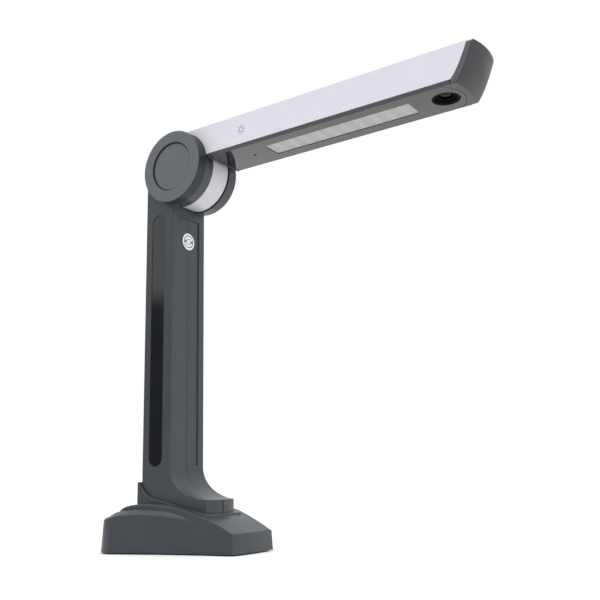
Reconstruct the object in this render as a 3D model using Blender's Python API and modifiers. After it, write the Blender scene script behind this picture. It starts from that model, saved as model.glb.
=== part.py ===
"""A folding document camera: a weighted base, a hollow column, a hinge and an arm with a lamp and a lens.

The frame is +Z up, X across the object and -Y the way the open arm points. The origin lies on the desk,
straight under the hinge axis. Lengths below are in millimetres, and MM turns them into metres.
"""

import math

import bmesh
import bpy
from mathutils import Matrix, Vector

MM = 0.001
GAP = 0.3  # left between pieces that touch

# Column and arm share one width.
BODY_HALF = 19.6
SHELL_WALL = 2.2

# Hinge: its axis runs along X.
AXIS_HEIGHT = 304.0
EAR_RADIUS = 29.7
EAR_INNER = 10.5  # half the slot between the two ears
DRUM_RADIUS = 28.8
DRUM_HALF = 9.6
DRUM_CLEARANCE = 30.3
SHAFT_RADIUS = 4.0
SHAFT_HOLE = 4.3
DRUM_BORE = 4.1
CAP_RADIUS = 30.2
CAP_OUTER = 28.8
CAP_INSET_RADIUS = 19.8
CAP_RECESS = 2.4
FAR_CAP_RADIUS = 28.4
FAR_CAP_PROUD = 1.5

# Column, seen from the side.
FRONT_Y = 5.5
REAR_Y = 35.3
TOE_Y = -31.0
TOE_CORNER_Y = -28.3
TOE_CORNER_HALF = 16.4
TOE_TAPER_Y = -10.0
TOE_TOP = 38.2
FOOT_BOTTOM = 16.0
FILLET_TOP = 63.2
CHANNEL_HALF = 12.6
CHANNEL_DEPTH = 0.9
CHANNEL_LOW = 64.0
CHANNEL_HIGH = 266.5
INLAY_Y = 21.3
INLAY_HALF = 7.0
INLAY_LOW = 63.4
INLAY_HIGH = 268.4
INLAY_DEPTH = 1.2
LABEL_RADIUS = 7.1
LABEL_HEIGHT = 247.3

# Base.
SKIRT_BOTTOM = 0.8
NOSE_Y = -59.3
NOSE_BOW = 1.8
NOSE_HALF = 24.2
NOSE_TOP = 14.6
FLARE_END_Y = 40.0
FLARE_HALF = 47.2
REAR_EDGE_Y = 58.0
CORNER_REACH = 12.0
LEDGE_START_Y = -24.0
LEDGE_WIDTH = 9.5
LEDGE_RISE = 3.6
HUMP_Y = 20.0
HUMP_TOP = 35.9
HUMP_CROWN = 0.6
HUMP_SETBACK = 4.5
LOBE_Y = 18.0
LOBE_TOP = 28.8
DRAFT = 1.2
COLLAR_HALF = 22.0
COLLAR_FRONT = -33.6
COLLAR_CORNER = 5.0
COLLAR_REAR = 37.4
COLLAR_LOW = 27.2
COLLAR_TOP = 52.4
SOCKET_GAP = 0.6
SOCKET_FLOOR = 15.7
BASE_ROOF_UNDER = 13.5

# Arm, measured from the hinge axis.
ARM_BOTTOM = 3.0
ARM_TOP = 30.4
STRIP_TOP = 5.9
COVER_BOTTOM = 6.2
COVER_WALL = 1.8
ARM_REAR_RADIUS = 30.5
LIP_REAR = -31.2
LIP_FRONT = -33.2
PANEL_HALF = 18.7
PANEL_TOP = 4.1
PANEL_END = -243.0
PANEL_END_RADIUS = 24.6
TRAY_END = -241.3
TONGUE_REAR = -235.4
TIP_BOW = 3.0
WINDOW_HALF = 9.15
WINDOW_REAR = -80.7
WINDOW_FRONT = -205.6
LENS_Y = -230.0
LENS_HOLE = 10.0
MIC_Y = -64.6

PARTS = "document_camera"
CUTTERS = "cutters"


# Scene, collections and materials

def clear_scene():
    for obj in list(bpy.data.objects):
        bpy.data.objects.remove(obj, do_unlink=True)


def collection(name):
    found = bpy.data.collections.get(name)
    if found is None:
        found = bpy.data.collections.new(name)
        bpy.context.scene.collection.children.link(found)
    return found


def material(name, colour, roughness, metallic=0.0):
    made = bpy.data.materials.new(name)
    made.use_nodes = True
    shader = made.node_tree.nodes["Principled BSDF"]
    shader.inputs["Base Color"].default_value = (*colour, 1.0)
    shader.inputs["Roughness"].default_value = roughness
    shader.inputs["Metallic"].default_value = metallic
    return made


def empty(name, z):
    made = bpy.data.objects.new(name, None)
    made.location = (0.0, 0.0, z * MM)
    collection(PARTS).objects.link(made)
    return made


# Shapes

def finish_mesh(name, mesh_builder):
    """Makes a mesh from a bmesh, in metres, with welded vertices and faces that point out."""
    bmesh.ops.remove_doubles(mesh_builder, verts=mesh_builder.verts, dist=1e-6)
    bmesh.ops.recalc_face_normals(mesh_builder, faces=mesh_builder.faces)
    mesh = bpy.data.meshes.new(name)
    mesh_builder.to_mesh(mesh)
    mesh_builder.free()
    return mesh


def add_object(name, mesh, home=CUTTERS):
    obj = bpy.data.objects.new(name, mesh)
    collection(home).objects.link(obj)
    if home == CUTTERS:
        obj.hide_render = True
        obj.display_type = "WIRE"
    return obj


def box(name, low, high):
    """A box between two corners."""
    builder = bmesh.new()
    bmesh.ops.create_cube(builder, size=1.0)
    size = [(h - l) * MM for l, h in zip(low, high)]
    middle = [(h + l) * MM / 2 for l, h in zip(low, high)]
    bmesh.ops.scale(builder, vec=size, verts=builder.verts)
    bmesh.ops.translate(builder, vec=middle, verts=builder.verts)
    return add_object(name, finish_mesh(name, builder))


def cylinder(name, axis, centre, radius, low, high, segments=48):
    """A cylinder along X, Y or Z. The centre gives its place on the other two axes, in X, Y, Z order."""
    builder = bmesh.new()
    bmesh.ops.create_cone(
        builder, cap_ends=True, segments=segments, radius1=radius * MM, radius2=radius * MM,
        depth=(high - low) * MM,
    )
    middle = (low + high) / 2
    if axis == "X":
        bmesh.ops.rotate(builder, matrix=Matrix.Rotation(math.pi / 2, 3, "Y"), verts=builder.verts)
        place = (middle, *centre)
    elif axis == "Y":
        bmesh.ops.rotate(builder, matrix=Matrix.Rotation(math.pi / 2, 3, "X"), verts=builder.verts)
        place = (centre[0], middle, centre[1])
    else:
        place = (*centre, middle)
    bmesh.ops.translate(builder, vec=[v * MM for v in place], verts=builder.verts)
    return add_object(name, finish_mesh(name, builder))


PLANES = {
    "YZ": Matrix(((0, 0, 1), (1, 0, 0), (0, 1, 0))),
    "XY": Matrix(((1, 0, 0), (0, 1, 0), (0, 0, 1))),
    "XZ": Matrix(((1, 0, 0), (0, 0, -1), (0, 1, 0))),
}


def prism(name, outline, plane, low, high):
    """A flat outline extruded across its plane, from low to high along the third axis."""
    curve = bpy.data.curves.new(name + "_outline", "CURVE")
    curve.dimensions = "2D"
    curve.fill_mode = "BOTH"
    curve.extrude = (high - low) * MM / 2
    spline = curve.splines.new("POLY")
    spline.points.add(len(outline) - 1)
    for point, (u, v) in zip(spline.points, outline):
        point.co = (u * MM, v * MM, 0.0, 1.0)
    spline.use_cyclic_u = True
    guide = bpy.data.objects.new(name + "_outline", curve)
    bpy.context.scene.collection.objects.link(guide)
    depsgraph = bpy.context.evaluated_depsgraph_get()
    mesh = bpy.data.meshes.new_from_object(guide.evaluated_get(depsgraph))
    bpy.data.objects.remove(guide, do_unlink=True)
    middle = (low + high) * MM / 2
    if plane == "XZ":
        middle = -middle
    builder = bmesh.new()
    builder.from_mesh(mesh)
    bmesh.ops.translate(builder, vec=(0.0, 0.0, middle), verts=builder.verts)
    bmesh.ops.transform(builder, matrix=PLANES[plane].to_4x4(), verts=builder.verts)
    return add_object(name, finish_mesh(name, builder))


def loft(name, sections):
    """A closed solid through sections that have the same number of points."""
    builder = bmesh.new()
    rings = [[builder.verts.new(Vector(p) * MM) for p in section] for section in sections]
    count = len(rings[0])
    for first, second in zip(rings, rings[1:]):
        for i in range(count):
            j = (i + 1) % count
            builder.faces.new((first[i], first[j], second[j], second[i]))
    builder.faces.new(rings[0])
    builder.faces.new(list(reversed(rings[-1])))
    return add_object(name, finish_mesh(name, builder))


def turned(name, profile, ring, axis_x=True, place=(0.0, 0.0, 0.0), steps=64):
    """A turned solid. The profile has (radius, distance) points and runs down its outer side; a ring closes it."""
    mesh = bpy.data.meshes.new(name)
    edges = [(i, i + 1) for i in range(len(profile) - 1)]
    if ring:
        edges.append((len(profile) - 1, 0))
    mesh.from_pydata([(r * MM, 0.0, z * MM) for r, z in profile], edges, [])
    obj = add_object(name, mesh)
    screw = obj.modifiers.new("turn", "SCREW")
    screw.axis = "Z"
    screw.steps = steps
    screw.render_steps = steps
    screw.use_merge_vertices = True
    screw.merge_threshold = 0.00001
    screw.use_normal_calculate = False
    if axis_x:
        obj.rotation_euler = (0.0, math.pi / 2, 0.0)
    obj.location = [v * MM for v in place]
    return obj


def arc(centre, radius, start, end, steps):
    """Points on an arc, both ends among them, with angles in degrees from the first axis."""
    points = []
    for i in range(steps + 1):
        angle = math.radians(start + (end - start) * i / steps)
        points.append((centre[0] + radius * math.cos(angle), centre[1] + radius * math.sin(angle)))
    return points


def stadium(centre, half_width, low, high, steps=9):
    """A slot with round ends that runs along the second axis."""
    top = arc((centre, high - half_width), half_width, 0, 180, steps)
    bottom = arc((centre, low + half_width), half_width, 180, 360, steps)
    return top + bottom


def boolean(obj, operation, other):
    made = obj.modifiers.new(operation.lower(), "BOOLEAN")
    made.operation = operation
    made.object = other
    made.solver = "EXACT"


def cut(obj, *cutters):
    for cutter in cutters:
        boolean(obj, "DIFFERENCE", cutter)


def join(obj, *others):
    for other in others:
        boolean(obj, "UNION", other)


def bevel(obj, width, segments=2, angle=40.0):
    made = obj.modifiers.new("edges", "BEVEL")
    made.width = width * MM
    made.segments = segments
    made.limit_method = "ANGLE"
    made.angle_limit = math.radians(angle)


def attach(obj, parent):
    """Parents an object, and the cutters and joined shapes that its Booleans use."""
    obj.parent = parent
    for modifier in obj.modifiers:
        if modifier.type == "BOOLEAN":
            attach(modifier.object, parent)


def make_part(obj, name, finish, parent):
    """Turns a shape into a named part of the object."""
    for home in list(obj.users_collection):
        home.objects.unlink(obj)
    collection(PARTS).objects.link(obj)
    obj.hide_render = False
    obj.display_type = "TEXTURED"
    obj.name = name
    obj.data.name = name
    obj.data.materials.append(finish)
    attach(obj, parent)
    return obj


def smooth(obj):
    obj.data.shade_smooth()
    obj.data.set_sharp_from_angle(angle=math.radians(35))


# Base

def flare_half(y):
    """Half the base's width at y: straight at the nose and ever wider to the rear."""
    share = min(max((y - NOSE_Y) / (FLARE_END_Y - NOSE_Y), 0.0), 1.0)
    return NOSE_HALF + (FLARE_HALF - NOSE_HALF) * share ** 1.5


def ledge_share(y):
    return min(max((y - LEDGE_START_Y) / (FLARE_END_Y - LEDGE_START_Y), 0.0), 1.0)


def ledge_inset(y):
    """How far the hump's wall stands back from the lobe's wall."""
    return LEDGE_WIDTH * ledge_share(y) ** 0.9


def hump_height(y):
    """The top of the base's middle at its sides: from the rear over a crest down to the nose."""
    if y < HUMP_Y:
        return HUMP_TOP - (HUMP_TOP - NOSE_TOP) * ((HUMP_Y - y) / (HUMP_Y - NOSE_Y)) ** 2
    return HUMP_TOP - 0.9 * ((y - HUMP_Y) / 13.0) ** 2.6


def lobe_height(y):
    """The top of the side lobes at their outer edge."""
    if y < LOBE_Y:
        return LOBE_TOP - 4.6 * ((LOBE_Y - y) / 41.6) ** 1.5
    return LOBE_TOP - 3.5 * ((y - LOBE_Y) / 32.0) ** 2.35


def hump_row(y, half):
    """The hump's top across, from its middle out: a slight crown that fades towards the nose."""
    crown = HUMP_CROWN * min((y - NOSE_Y) / 30.0, 1.0)
    return [(0.0, hump_height(y) + crown), (half * 0.6, hump_height(y) + crown * 0.6), (half, hump_height(y))]


def lobe_row(y, half):
    """A lobe's top across, from its middle out: the ledge slopes down to the outer edge."""
    share = ledge_share(y)
    rise = LEDGE_RISE * (1 - (1 - min(share / 0.42, 1.0)) ** 2)
    rise *= min(max((REAR_EDGE_Y - y) / 8.0, 0.0), 1.0)
    inner = max(half - ledge_inset(y) - 0.5, 0.0)
    return [(0.0, lobe_height(y) + rise), (inner, lobe_height(y) + rise), (half, lobe_height(y))]


def plan(hump, front, inset=0.0, steps=9, corner_steps=5):
    """Rows along the base as (y, half width), round its rear corner. The hump's is narrower to the rear."""
    rear = REAR_EDGE_Y - inset - (HUMP_SETBACK if hump else 0.0)
    last = FLARE_END_Y - (4.0 if hump else 0.0)
    nose_steps = 4 if front < LEDGE_START_Y - 10.0 else 1
    marks = [front + (LEDGE_START_Y - front) * i / nose_steps for i in range(nose_steps)]
    marks += [LEDGE_START_Y + (last - LEDGE_START_Y) * (i / steps) ** 1.4 for i in range(steps + 1)]
    rows = [(y, flare_half(y) - inset - (ledge_inset(y) if hump else 0.0)) for y in marks]
    y, half = rows[-1]
    for i in range(1, corner_steps + 1):
        angle = math.pi / 2 * i / corner_steps
        rows.append((y + (rear - y) * math.sin(angle), half - CORNER_REACH * (1 - math.cos(angle))))
    return rows


def nose_bow(y, across, front):
    """How far the nose bows forward at a place across it. The bow fades out behind the nose."""
    if front > LEDGE_START_Y - 10.0:
        return 0.0
    return NOSE_BOW * (1 - across ** 2) * min(max(1 - (y - front) / 14.0, 0.0), 1.0)


def base_outline(inset):
    """The base's outline from above, its nose at -Y."""
    front = NOSE_Y + inset
    right = [(half, y) for y, half in plan(False, front, inset)]
    half = right[0][0]
    nose = [(half * across, front - nose_bow(front, across, front)) for across in (-0.5, 0.0, 0.5)]
    return [(-x, y) for x, y in reversed(right)] + nose + right


def slab(name, rows, top_row, floor, drop=0.0):
    """A block over rows of the base, with a flat floor, slightly drafted sides and a shaped top."""
    builder = bmesh.new()
    front = rows[0][0]
    low_rows = []
    top_rows = []
    for y, half in rows:
        lean = DRAFT * (top_row(y, half)[-1][1] - floor) / LOBE_TOP
        back = lean if y == front else 0.0
        right = top_row(y, half - lean)
        across = [(-x, z) for x, z in reversed(right[1:])] + right
        low_row = []
        high_row = []
        for x, z in across:
            share = x / (half - lean)
            bow = nose_bow(y, share, front)
            low_row.append(builder.verts.new(Vector((half * share, y - bow, floor)) * MM))
            high_row.append(builder.verts.new(Vector((x, y - bow + back, z - drop)) * MM))
        low_rows.append(low_row)
        top_rows.append(high_row)
    columns = len(low_rows[0]) - 1
    for layer in (low_rows, top_rows):
        for a, b in zip(layer, layer[1:]):
            for i in range(columns):
                builder.faces.new((a[i], a[i + 1], b[i + 1], b[i]))
    for i in range(len(rows) - 1):
        for edge in (0, columns):
            builder.faces.new((low_rows[i][edge], low_rows[i + 1][edge], top_rows[i + 1][edge], top_rows[i][edge]))
    for low, high in ((low_rows[0], top_rows[0]), (low_rows[-1], top_rows[-1])):
        for i in range(columns):
            builder.faces.new((low[i], low[i + 1], high[i + 1], high[i]))
    return add_object(name, finish_mesh(name, builder))


def collar_height(y):
    """The rim around the column's foot: a slow rise, then a sweep up behind the column."""
    rise = 8.4 * (max(y - 22.0, 0.0) / 14.5) ** 2
    return min(COLLAR_LOW + 0.22 * (y + 37.0) + rise, COLLAR_TOP)


def side_profile(height, front, rear, floor, drop=0.0, steps=16):
    """A side view: flat at the floor, with a top that follows a height function."""
    top = []
    for i in range(steps + 1):
        y = rear + (front - rear) * i / steps
        top.append((y, height(y) - drop))
    return [(front, floor), (rear, floor)] + top


def base_solid(name, inset, drop, floor):
    """Hump and lobes as one solid, or, with an inset and a drop, the hollow inside them."""
    hump = slab(name, plan(True, NOSE_Y + inset, inset), hump_row, floor, drop)
    lobe_front, lobe_inset = (LEDGE_START_Y - 3.0, inset) if inset else (LEDGE_START_Y - 1.5, 0.03)
    join(hump, slab(name + "_lobes", plan(False, lobe_front, lobe_inset), lobe_row, floor + 0.02, drop))
    return hump


def collar_outline(inset):
    """The collar from above, with its front corners well rounded."""
    half = COLLAR_HALF - inset
    front = COLLAR_FRONT + inset
    rear = COLLAR_REAR - inset
    radius = COLLAR_CORNER - inset
    right = arc((half - radius, front + radius), radius, 270, 360, 5)
    left = arc((radius - half, front + radius), radius, 180, 270, 5)
    return left + right + [(half, rear), (-half, rear)]


def toe_front(grow):
    """The toe's bowed front from above, left to right, and where its sides start to taper."""
    bow = []
    for share in (0.0, 0.35, 0.7, 1.0):
        bow.append((TOE_CORNER_HALF * share, TOE_Y + (TOE_CORNER_Y - TOE_Y) * share ** 2 - grow))
    x, y = bow.pop()
    bow += [(x + grow * 0.7, y), (x + grow, y + grow * 0.3 + 0.3), (BODY_HALF + 0.01 + grow, TOE_TAPER_Y)]
    return [(-x, y) for x, y in reversed(bow[1:])] + bow


BOSS_RADIUS = 3.6
SCREW_PLACES = [(-17.0, -46.0), (17.0, -46.0), (-31.0, 36.0), (31.0, 36.0)]
COLUMN_SCREWS = [(-13.0, -22.0), (13.0, -22.0), (-14.5, 27.0), (14.5, 27.0)]


def base_shell(plastic, stand):
    shell = base_solid("base_shell", 0.0, 0.0, SKIRT_BOTTOM)
    collar = prism("collar", collar_outline(0.0), "XY", 10.0, 60.0)
    boolean(collar, "INTERSECT", prism(
        "collar_top", side_profile(collar_height, -40.0, 40.0, 5.0, steps=18), "YZ", -30.0, 30.0))
    join(shell, collar)
    hollow = base_solid("base_hollow", SHELL_WALL, SHELL_WALL, -2.0)
    cut(hollow, prism("socket_walls", collar_outline(0.1), "XY", BASE_ROOF_UNDER, 60.0))
    cut(shell, hollow)
    rear = REAR_Y + SOCKET_GAP
    half = BODY_HALF + SOCKET_GAP
    cut(shell, prism("socket", toe_front(SOCKET_GAP) + [(half, rear), (-half, rear)], "XY", SOCKET_FLOOR, 70.0))
    for i, (x, y) in enumerate(SCREW_PLACES):
        top = min(hump_height(y - BOSS_RADIUS), hump_height(y + BOSS_RADIUS)) - 1.0
        join(shell, cylinder(f"boss_{i}", "Z", (x, y), BOSS_RADIUS, 3.9, top, 12))
        cut(shell, cylinder(f"boss_hole_{i}", "Z", (x, y), 1.5, 0.0, 15.0, 10))
    for i, (x, y) in enumerate(COLUMN_SCREWS):
        cut(shell, cylinder(f"socket_hole_{i}", "Z", (x, y), 1.9, 12.0, 17.0, 10))
    cut(shell, box("cable_way", (-8.0, 12.0, 12.0), (8.0, 28.0, 18.0)))
    cut(shell, box("usb_hole", (-4.6, 50.0, 5.6), (4.6, 62.0, 10.8)))
    make_part(shell, "base_shell", plastic, stand)


def base_inside(finishes, stand):
    plate = prism("plate", base_outline(SHELL_WALL + GAP + 0.2), "XY", 1.5, 3.5)
    for i, (x, y) in enumerate(SCREW_PLACES):
        cut(plate, cylinder(f"plate_hole_{i}", "Z", (x, y), 1.6, 0.0, 5.0, 10))
    make_part(plate, "bottom_plate", finishes["black_plastic"], stand)
    pad_plan = [(-13.0, -52.0), (13.0, -52.0), (26.0, 40.0), (26.0, 48.0), (-26.0, 48.0), (-26.0, 40.0)]
    pad = prism("pad", pad_plan, "XY", 0.0, 1.2)
    cut(pad, *[cylinder(f"pad_relief_{i}", "Z", (x, y), 5.0, -1.0, 2.0, 16)
               for i, (x, y) in enumerate(SCREW_PLACES)])
    make_part(pad, "anti_slip_pad", finishes["rubber"], stand)
    weight_side = [(9.0, -52.0), (12.0, -41.0), (18.5, -37.0), (26.0, 30.0)]
    weight_plan = weight_side + [(-x, y) for x, y in reversed(weight_side)]
    ballast = prism("weight", weight_plan, "XY", 3.8, 10.8)
    bevel(ballast, 0.8, 1)
    make_part(ballast, "ballast_plate", finishes["steel"], stand)
    board = box("io_board", (-14.0, 31.5, 4.2), (14.0, 53.5, 5.8))
    make_part(board, "usb_board", finishes["green_board"], stand)
    socket = box("usb", (-3.9, 46.5, 6.1), (3.9, 55.8, 10.2))
    cut(socket, box("usb_mouth", (-3.3, 48.0, 6.7), (3.3, 57.0, 9.6)))
    join(socket, box("usb_tongue", (-2.2, 47.0, 8.3), (2.2, 54.5, 9.1)))
    make_part(socket, "usb_socket", finishes["nickel"], stand)
    for i, (x, y) in enumerate(SCREW_PLACES):
        screw = cylinder(f"base_screw_{i + 1}", "Z", (x, y), 1.2, 1.0, 14.0, 10)
        join(screw, cylinder(f"base_screw_head_{i}", "Z", (x, y), 2.9, 0.3, 1.2, 12))
        make_part(screw, f"base_screw_{i + 1}", finishes["steel"], stand)
    for i, (x, y) in enumerate(COLUMN_SCREWS):
        screw = cylinder(f"column_screw_{i + 1}", "Z", (x, y), 1.4, 13.0, 22.0, 10)
        join(screw, cylinder(f"column_screw_head_{i}", "Z", (x, y), 2.9, 11.4, 13.2, 12))
        make_part(screw, f"column_screw_{i + 1}", finishes["steel"], stand)


# Column

def fillet(grow, steps=8):
    """The sweep from the column's front down to the toe's top, a quarter of an ellipse."""
    reach = FRONT_Y - TOE_Y + grow
    drop = FILLET_TOP - TOE_TOP + grow * 0.8
    points = []
    for i in range(steps + 1):
        angle = math.pi / 2 * i / steps
        points.append((TOE_Y + reach * math.cos(angle), FILLET_TOP - drop * math.sin(angle)))
    return points


def column_outline():
    """The column from the side: foot and toe, back, round ear and front."""
    centre = (0.0, AXIS_HEIGHT)
    front_angle = 360.0 - math.degrees(math.acos(FRONT_Y / EAR_RADIUS))
    ear = arc(centre, EAR_RADIUS, 2.0, front_angle, 40)
    back = [(REAR_Y, FOOT_BOTTOM), (REAR_Y, AXIS_HEIGHT - 12.0), (REAR_Y - 0.7, AXIS_HEIGHT - 7.5),
            (REAR_Y - 3.2, AXIS_HEIGHT - 3.5)]
    return [(TOE_Y, FOOT_BOTTOM)] + back + ear + fillet(0.0)


def toe_room():
    """The room inside the column from above, narrowed with the toe."""
    narrow = TOE_CORNER_HALF - SHELL_WALL
    wide = BODY_HALF - SHELL_WALL + 0.5
    right = [(narrow, TOE_CORNER_Y), (wide, TOE_TAPER_Y), (wide, REAR_Y + 5.0)]
    return [(-x, y) for x, y in reversed(right)] + right


def column_hollow(side, name):
    """The room inside one half of the column, kept clear of the drum's seat."""
    front = FRONT_Y + SHELL_WALL + CHANNEL_DEPTH
    grow = front - FRONT_Y
    toe = TOE_CORNER_Y + SHELL_WALL
    inner_fillet = [p for p in fillet(grow) if p[1] > FOOT_BOTTOM + 3.0 and p[0] > toe]
    outline = [(toe, FOOT_BOTTOM + 3.0), (REAR_Y - SHELL_WALL, FOOT_BOTTOM + 3.0),
               (REAR_Y - SHELL_WALL, AXIS_HEIGHT - 24.0), (28.0, AXIS_HEIGHT - 3.0), (front, AXIS_HEIGHT - 3.0)]
    outline += inner_fillet + [(toe, inner_fillet[-1][1])]
    wall = BODY_HALF - SHELL_WALL
    low, high = sorted((side * wall, -side * 1.0))
    hollow = prism(name, outline, "YZ", low, high)
    boolean(hollow, "INTERSECT", prism(name + "_toe_room", toe_room(), "XY", 0.0, AXIS_HEIGHT + 40.0))
    seat_low, seat_high = sorted((side * (EAR_INNER + 1.8), -side * 3.0))
    cut(hollow, cylinder(name + "_seat", "X", (0.0, AXIS_HEIGHT), DRUM_CLEARANCE + 1.8, seat_low, seat_high))
    return hollow


def toe_trim(name):
    """What lies in front of and beside the toe."""
    outside = BODY_HALF + 4.0
    outline = toe_front(0.0) + [(outside, TOE_TAPER_Y), (outside, TOE_Y - 5.0), (-outside, TOE_Y - 5.0),
                                (-outside, TOE_TAPER_Y)]
    return prism(name, outline, "XY", FOOT_BOTTOM - 3.0, TOE_TOP + 8.0)


def column_shell(side, name, plastic, stand):
    low, high = sorted((side * BODY_HALF, -side * 4.0))
    shell = prism(name, column_outline(), "YZ", low, high)
    bevel(shell, 0.8, 1)
    low, high = sorted((side * 0.15, -side * 6.0))
    cut(shell, box(name + "_other_half", (low, -60.0, 0.0), (high, 60.0, 400.0)))
    cut(shell, toe_trim(name + "_toe_trim"))
    cut(shell, column_hollow(side, name + "_hollow"))
    pocket = sorted((side * (BODY_HALF - SHELL_WALL - 0.2), side * (EAR_INNER + 2.0)))
    cut(shell, cylinder(name + "_ear_pocket", "X", (0.0, AXIS_HEIGHT), EAR_RADIUS - 2.4, *pocket))
    slot = sorted((side * EAR_INNER, -side * 2.0))
    cut(shell, cylinder(name + "_drum_seat", "X", (0.0, AXIS_HEIGHT), DRUM_CLEARANCE, *slot))
    through = sorted((side * 9.0, side * (BODY_HALF - 1.0)))
    cut(shell, cylinder(name + "_shaft_hole", "X", (0.0, AXIS_HEIGHT), SHAFT_HOLE, *through, 24))
    access = sorted((side * (BODY_HALF - 4.0), side * (BODY_HALF + 2.0)))
    cut(shell, cylinder(name + "_access", "X", (0.0, AXIS_HEIGHT), 11.0, *access, 28))
    recess = sorted((side * (BODY_HALF - INLAY_DEPTH), side * (BODY_HALF + 2.0)))
    cut(shell, prism(name + "_inlay_seat", stadium(INLAY_Y, INLAY_HALF, INLAY_LOW, INLAY_HIGH), "YZ", *recess))
    cut(shell, box(name + "_channel", (-CHANNEL_HALF, FRONT_Y - 5.0, CHANNEL_LOW),
                   (CHANNEL_HALF, FRONT_Y + CHANNEL_DEPTH, CHANNEL_HIGH)))
    cut(shell, box(name + "_cable_way", (-8.0, 12.0, FOOT_BOTTOM - 2.0), (8.0, 28.0, FOOT_BOTTOM + 5.0)))
    for i, (x, y) in enumerate(COLUMN_SCREWS):
        if x * side > 0:
            cut(shell, cylinder(f"{name}_screw_{i}", "Z", (x, y), 1.7, FOOT_BOTTOM - 2.0, FOOT_BOTTOM + 8.0, 10))
    make_part(shell, name, plastic, stand)


def column_trim(finishes, stand):
    for side, name in ((-1, "side_inlay_left"), (1, "side_inlay_right")):
        outline = stadium(INLAY_Y, INLAY_HALF - GAP, INLAY_LOW + GAP, INLAY_HIGH - GAP)
        span = sorted((side * (BODY_HALF - 0.25), side * (BODY_HALF - INLAY_DEPTH + GAP)))
        make_part(prism(name, outline, "YZ", *span), name, finishes["gloss_black"], stand)
    floor = FRONT_Y + CHANNEL_DEPTH
    label = cylinder("label", "Y", (0.0, LABEL_HEIGHT), LABEL_RADIUS, floor - 0.55, floor - 0.25, 32)
    make_part(label, "round_label", finishes["label"], stand)


def spine(finishes, stand):
    """A steel channel inside the column, and the two straps that carry the hinge."""
    half, wall, front, rear = 12.6, 1.5, 12.0, 30.0
    section = [(-half, front), (half, front), (half, rear), (half - wall, rear), (half - wall, front + wall),
               (-half + wall, front + wall), (-half + wall, rear), (-half, rear)]
    channel = prism("spine", section, "XY", FOOT_BOTTOM + 3.5, 262.0)
    make_part(channel, "column_spine", finishes["steel"], stand)
    for side, name in ((-1, "hinge_strap_left"), (1, "hinge_strap_right")):
        head = arc((0.0, AXIS_HEIGHT), 13.0, -20.0, 200.0, 16)
        outline = [(13.5, 205.0), (28.0, 205.0), (28.0, 268.0)] + head + [(-8.0, 292.0), (10.5, 278.0), (13.5, 262.0)]
        span = sorted((side * 12.9, side * 14.9))
        strap = prism(name, outline, "YZ", *span)
        cut(strap, cylinder(name + "_hole", "X", (0.0, AXIS_HEIGHT), SHAFT_HOLE,
                            *sorted((side * 11.0, side * 17.0)), 24))
        make_part(strap, name, finishes["steel"], stand)


# Hinge

def hinge_fixed(finishes, hinge):
    """What stays with the column: shaft, washers, spring, nut and covers, about the axis."""
    shaft = turned("shaft", [(1.8, 17.2), (8.0, 17.2), (8.0, 15.2), (SHAFT_RADIUS, 15.2),
                             (SHAFT_RADIUS, -19.4), (1.8, -19.4)], True, steps=24)
    shaft.rotation_euler = (0.0, -math.pi / 2, 0.0)
    make_part(shaft, "hinge_shaft", finishes["steel"], hinge)
    for side, name in ((-1, "friction_washer_left"), (1, "friction_washer_right")):
        middle = side * (DRUM_HALF + EAR_INNER) / 2
        washer = turned(name, [(SHAFT_HOLE, 0.2), (14.0, 0.2), (14.0, -0.2), (SHAFT_HOLE, -0.2)], True,
                        place=(middle, 0.0, 0.0), steps=28)
        make_part(washer, name, finishes["nylon"], hinge)
    spring = turned("spring", [(SHAFT_HOLE, 0.9), (4.8, 0.9), (9.2, 0.45), (9.2, 0.0), (8.6, 0.0),
                               (SHAFT_HOLE, 0.4)], True, place=(15.1, 0.0, 0.0), steps=24)
    make_part(spring, "disc_spring", finishes["steel"], hinge)
    nut = cylinder("nut", "X", (0.0, 0.0), 7.5, 16.3, 19.3, 6)
    cut(nut, cylinder("nut_hole", "X", (0.0, 0.0), SHAFT_HOLE, 15.0, 21.0, 24))
    make_part(nut, "hinge_nut", finishes["steel"], hinge)
    inner = BODY_HALF + GAP
    depth = CAP_OUTER - inner
    chamfer = 0.8
    cap = turned("cap", [(0.0, depth - CAP_RECESS), (CAP_INSET_RADIUS + GAP, depth - CAP_RECESS),
                         (CAP_INSET_RADIUS + GAP, depth - 0.3), (CAP_INSET_RADIUS + 0.6, depth),
                         (CAP_RADIUS - chamfer, depth), (CAP_RADIUS, depth - chamfer), (CAP_RADIUS, 0.0),
                         (CAP_RADIUS - 2.4, 0.0), (CAP_RADIUS - 2.4, depth - 3.6), (0.0, depth - 3.6)],
                 False, place=(-inner, 0.0, 0.0), steps=56)
    cap.rotation_euler = (0.0, -math.pi / 2, 0.0)
    smooth(make_part(cap, "hinge_cap_near", finishes["dark_plastic"], hinge))
    inset = turned("inset", [(0.0, 0.7), (CAP_INSET_RADIUS - 0.4, 0.7), (CAP_INSET_RADIUS, 0.4),
                             (CAP_INSET_RADIUS, 0.0), (0.0, 0.0)], False,
                   place=(-CAP_OUTER + CAP_RECESS - GAP, 0.0, 0.0), steps=48)
    inset.rotation_euler = (0.0, -math.pi / 2, 0.0)
    smooth(make_part(inset, "cap_inset_disc", finishes["dark_plastic"], hinge))
    far = turned("far_cap", [(0.0, FAR_CAP_PROUD), (FAR_CAP_RADIUS - 0.8, FAR_CAP_PROUD),
                             (FAR_CAP_RADIUS, FAR_CAP_PROUD - 0.8), (FAR_CAP_RADIUS, 0.0),
                             (10.5, 0.0), (10.5, -1.2), (9.0, -1.2), (9.0, 0.2), (0.0, 0.2)],
                 False, place=(inner, 0.0, 0.0), steps=48)
    smooth(make_part(far, "hinge_cap_far", finishes["dark_plastic"], hinge))


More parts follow.
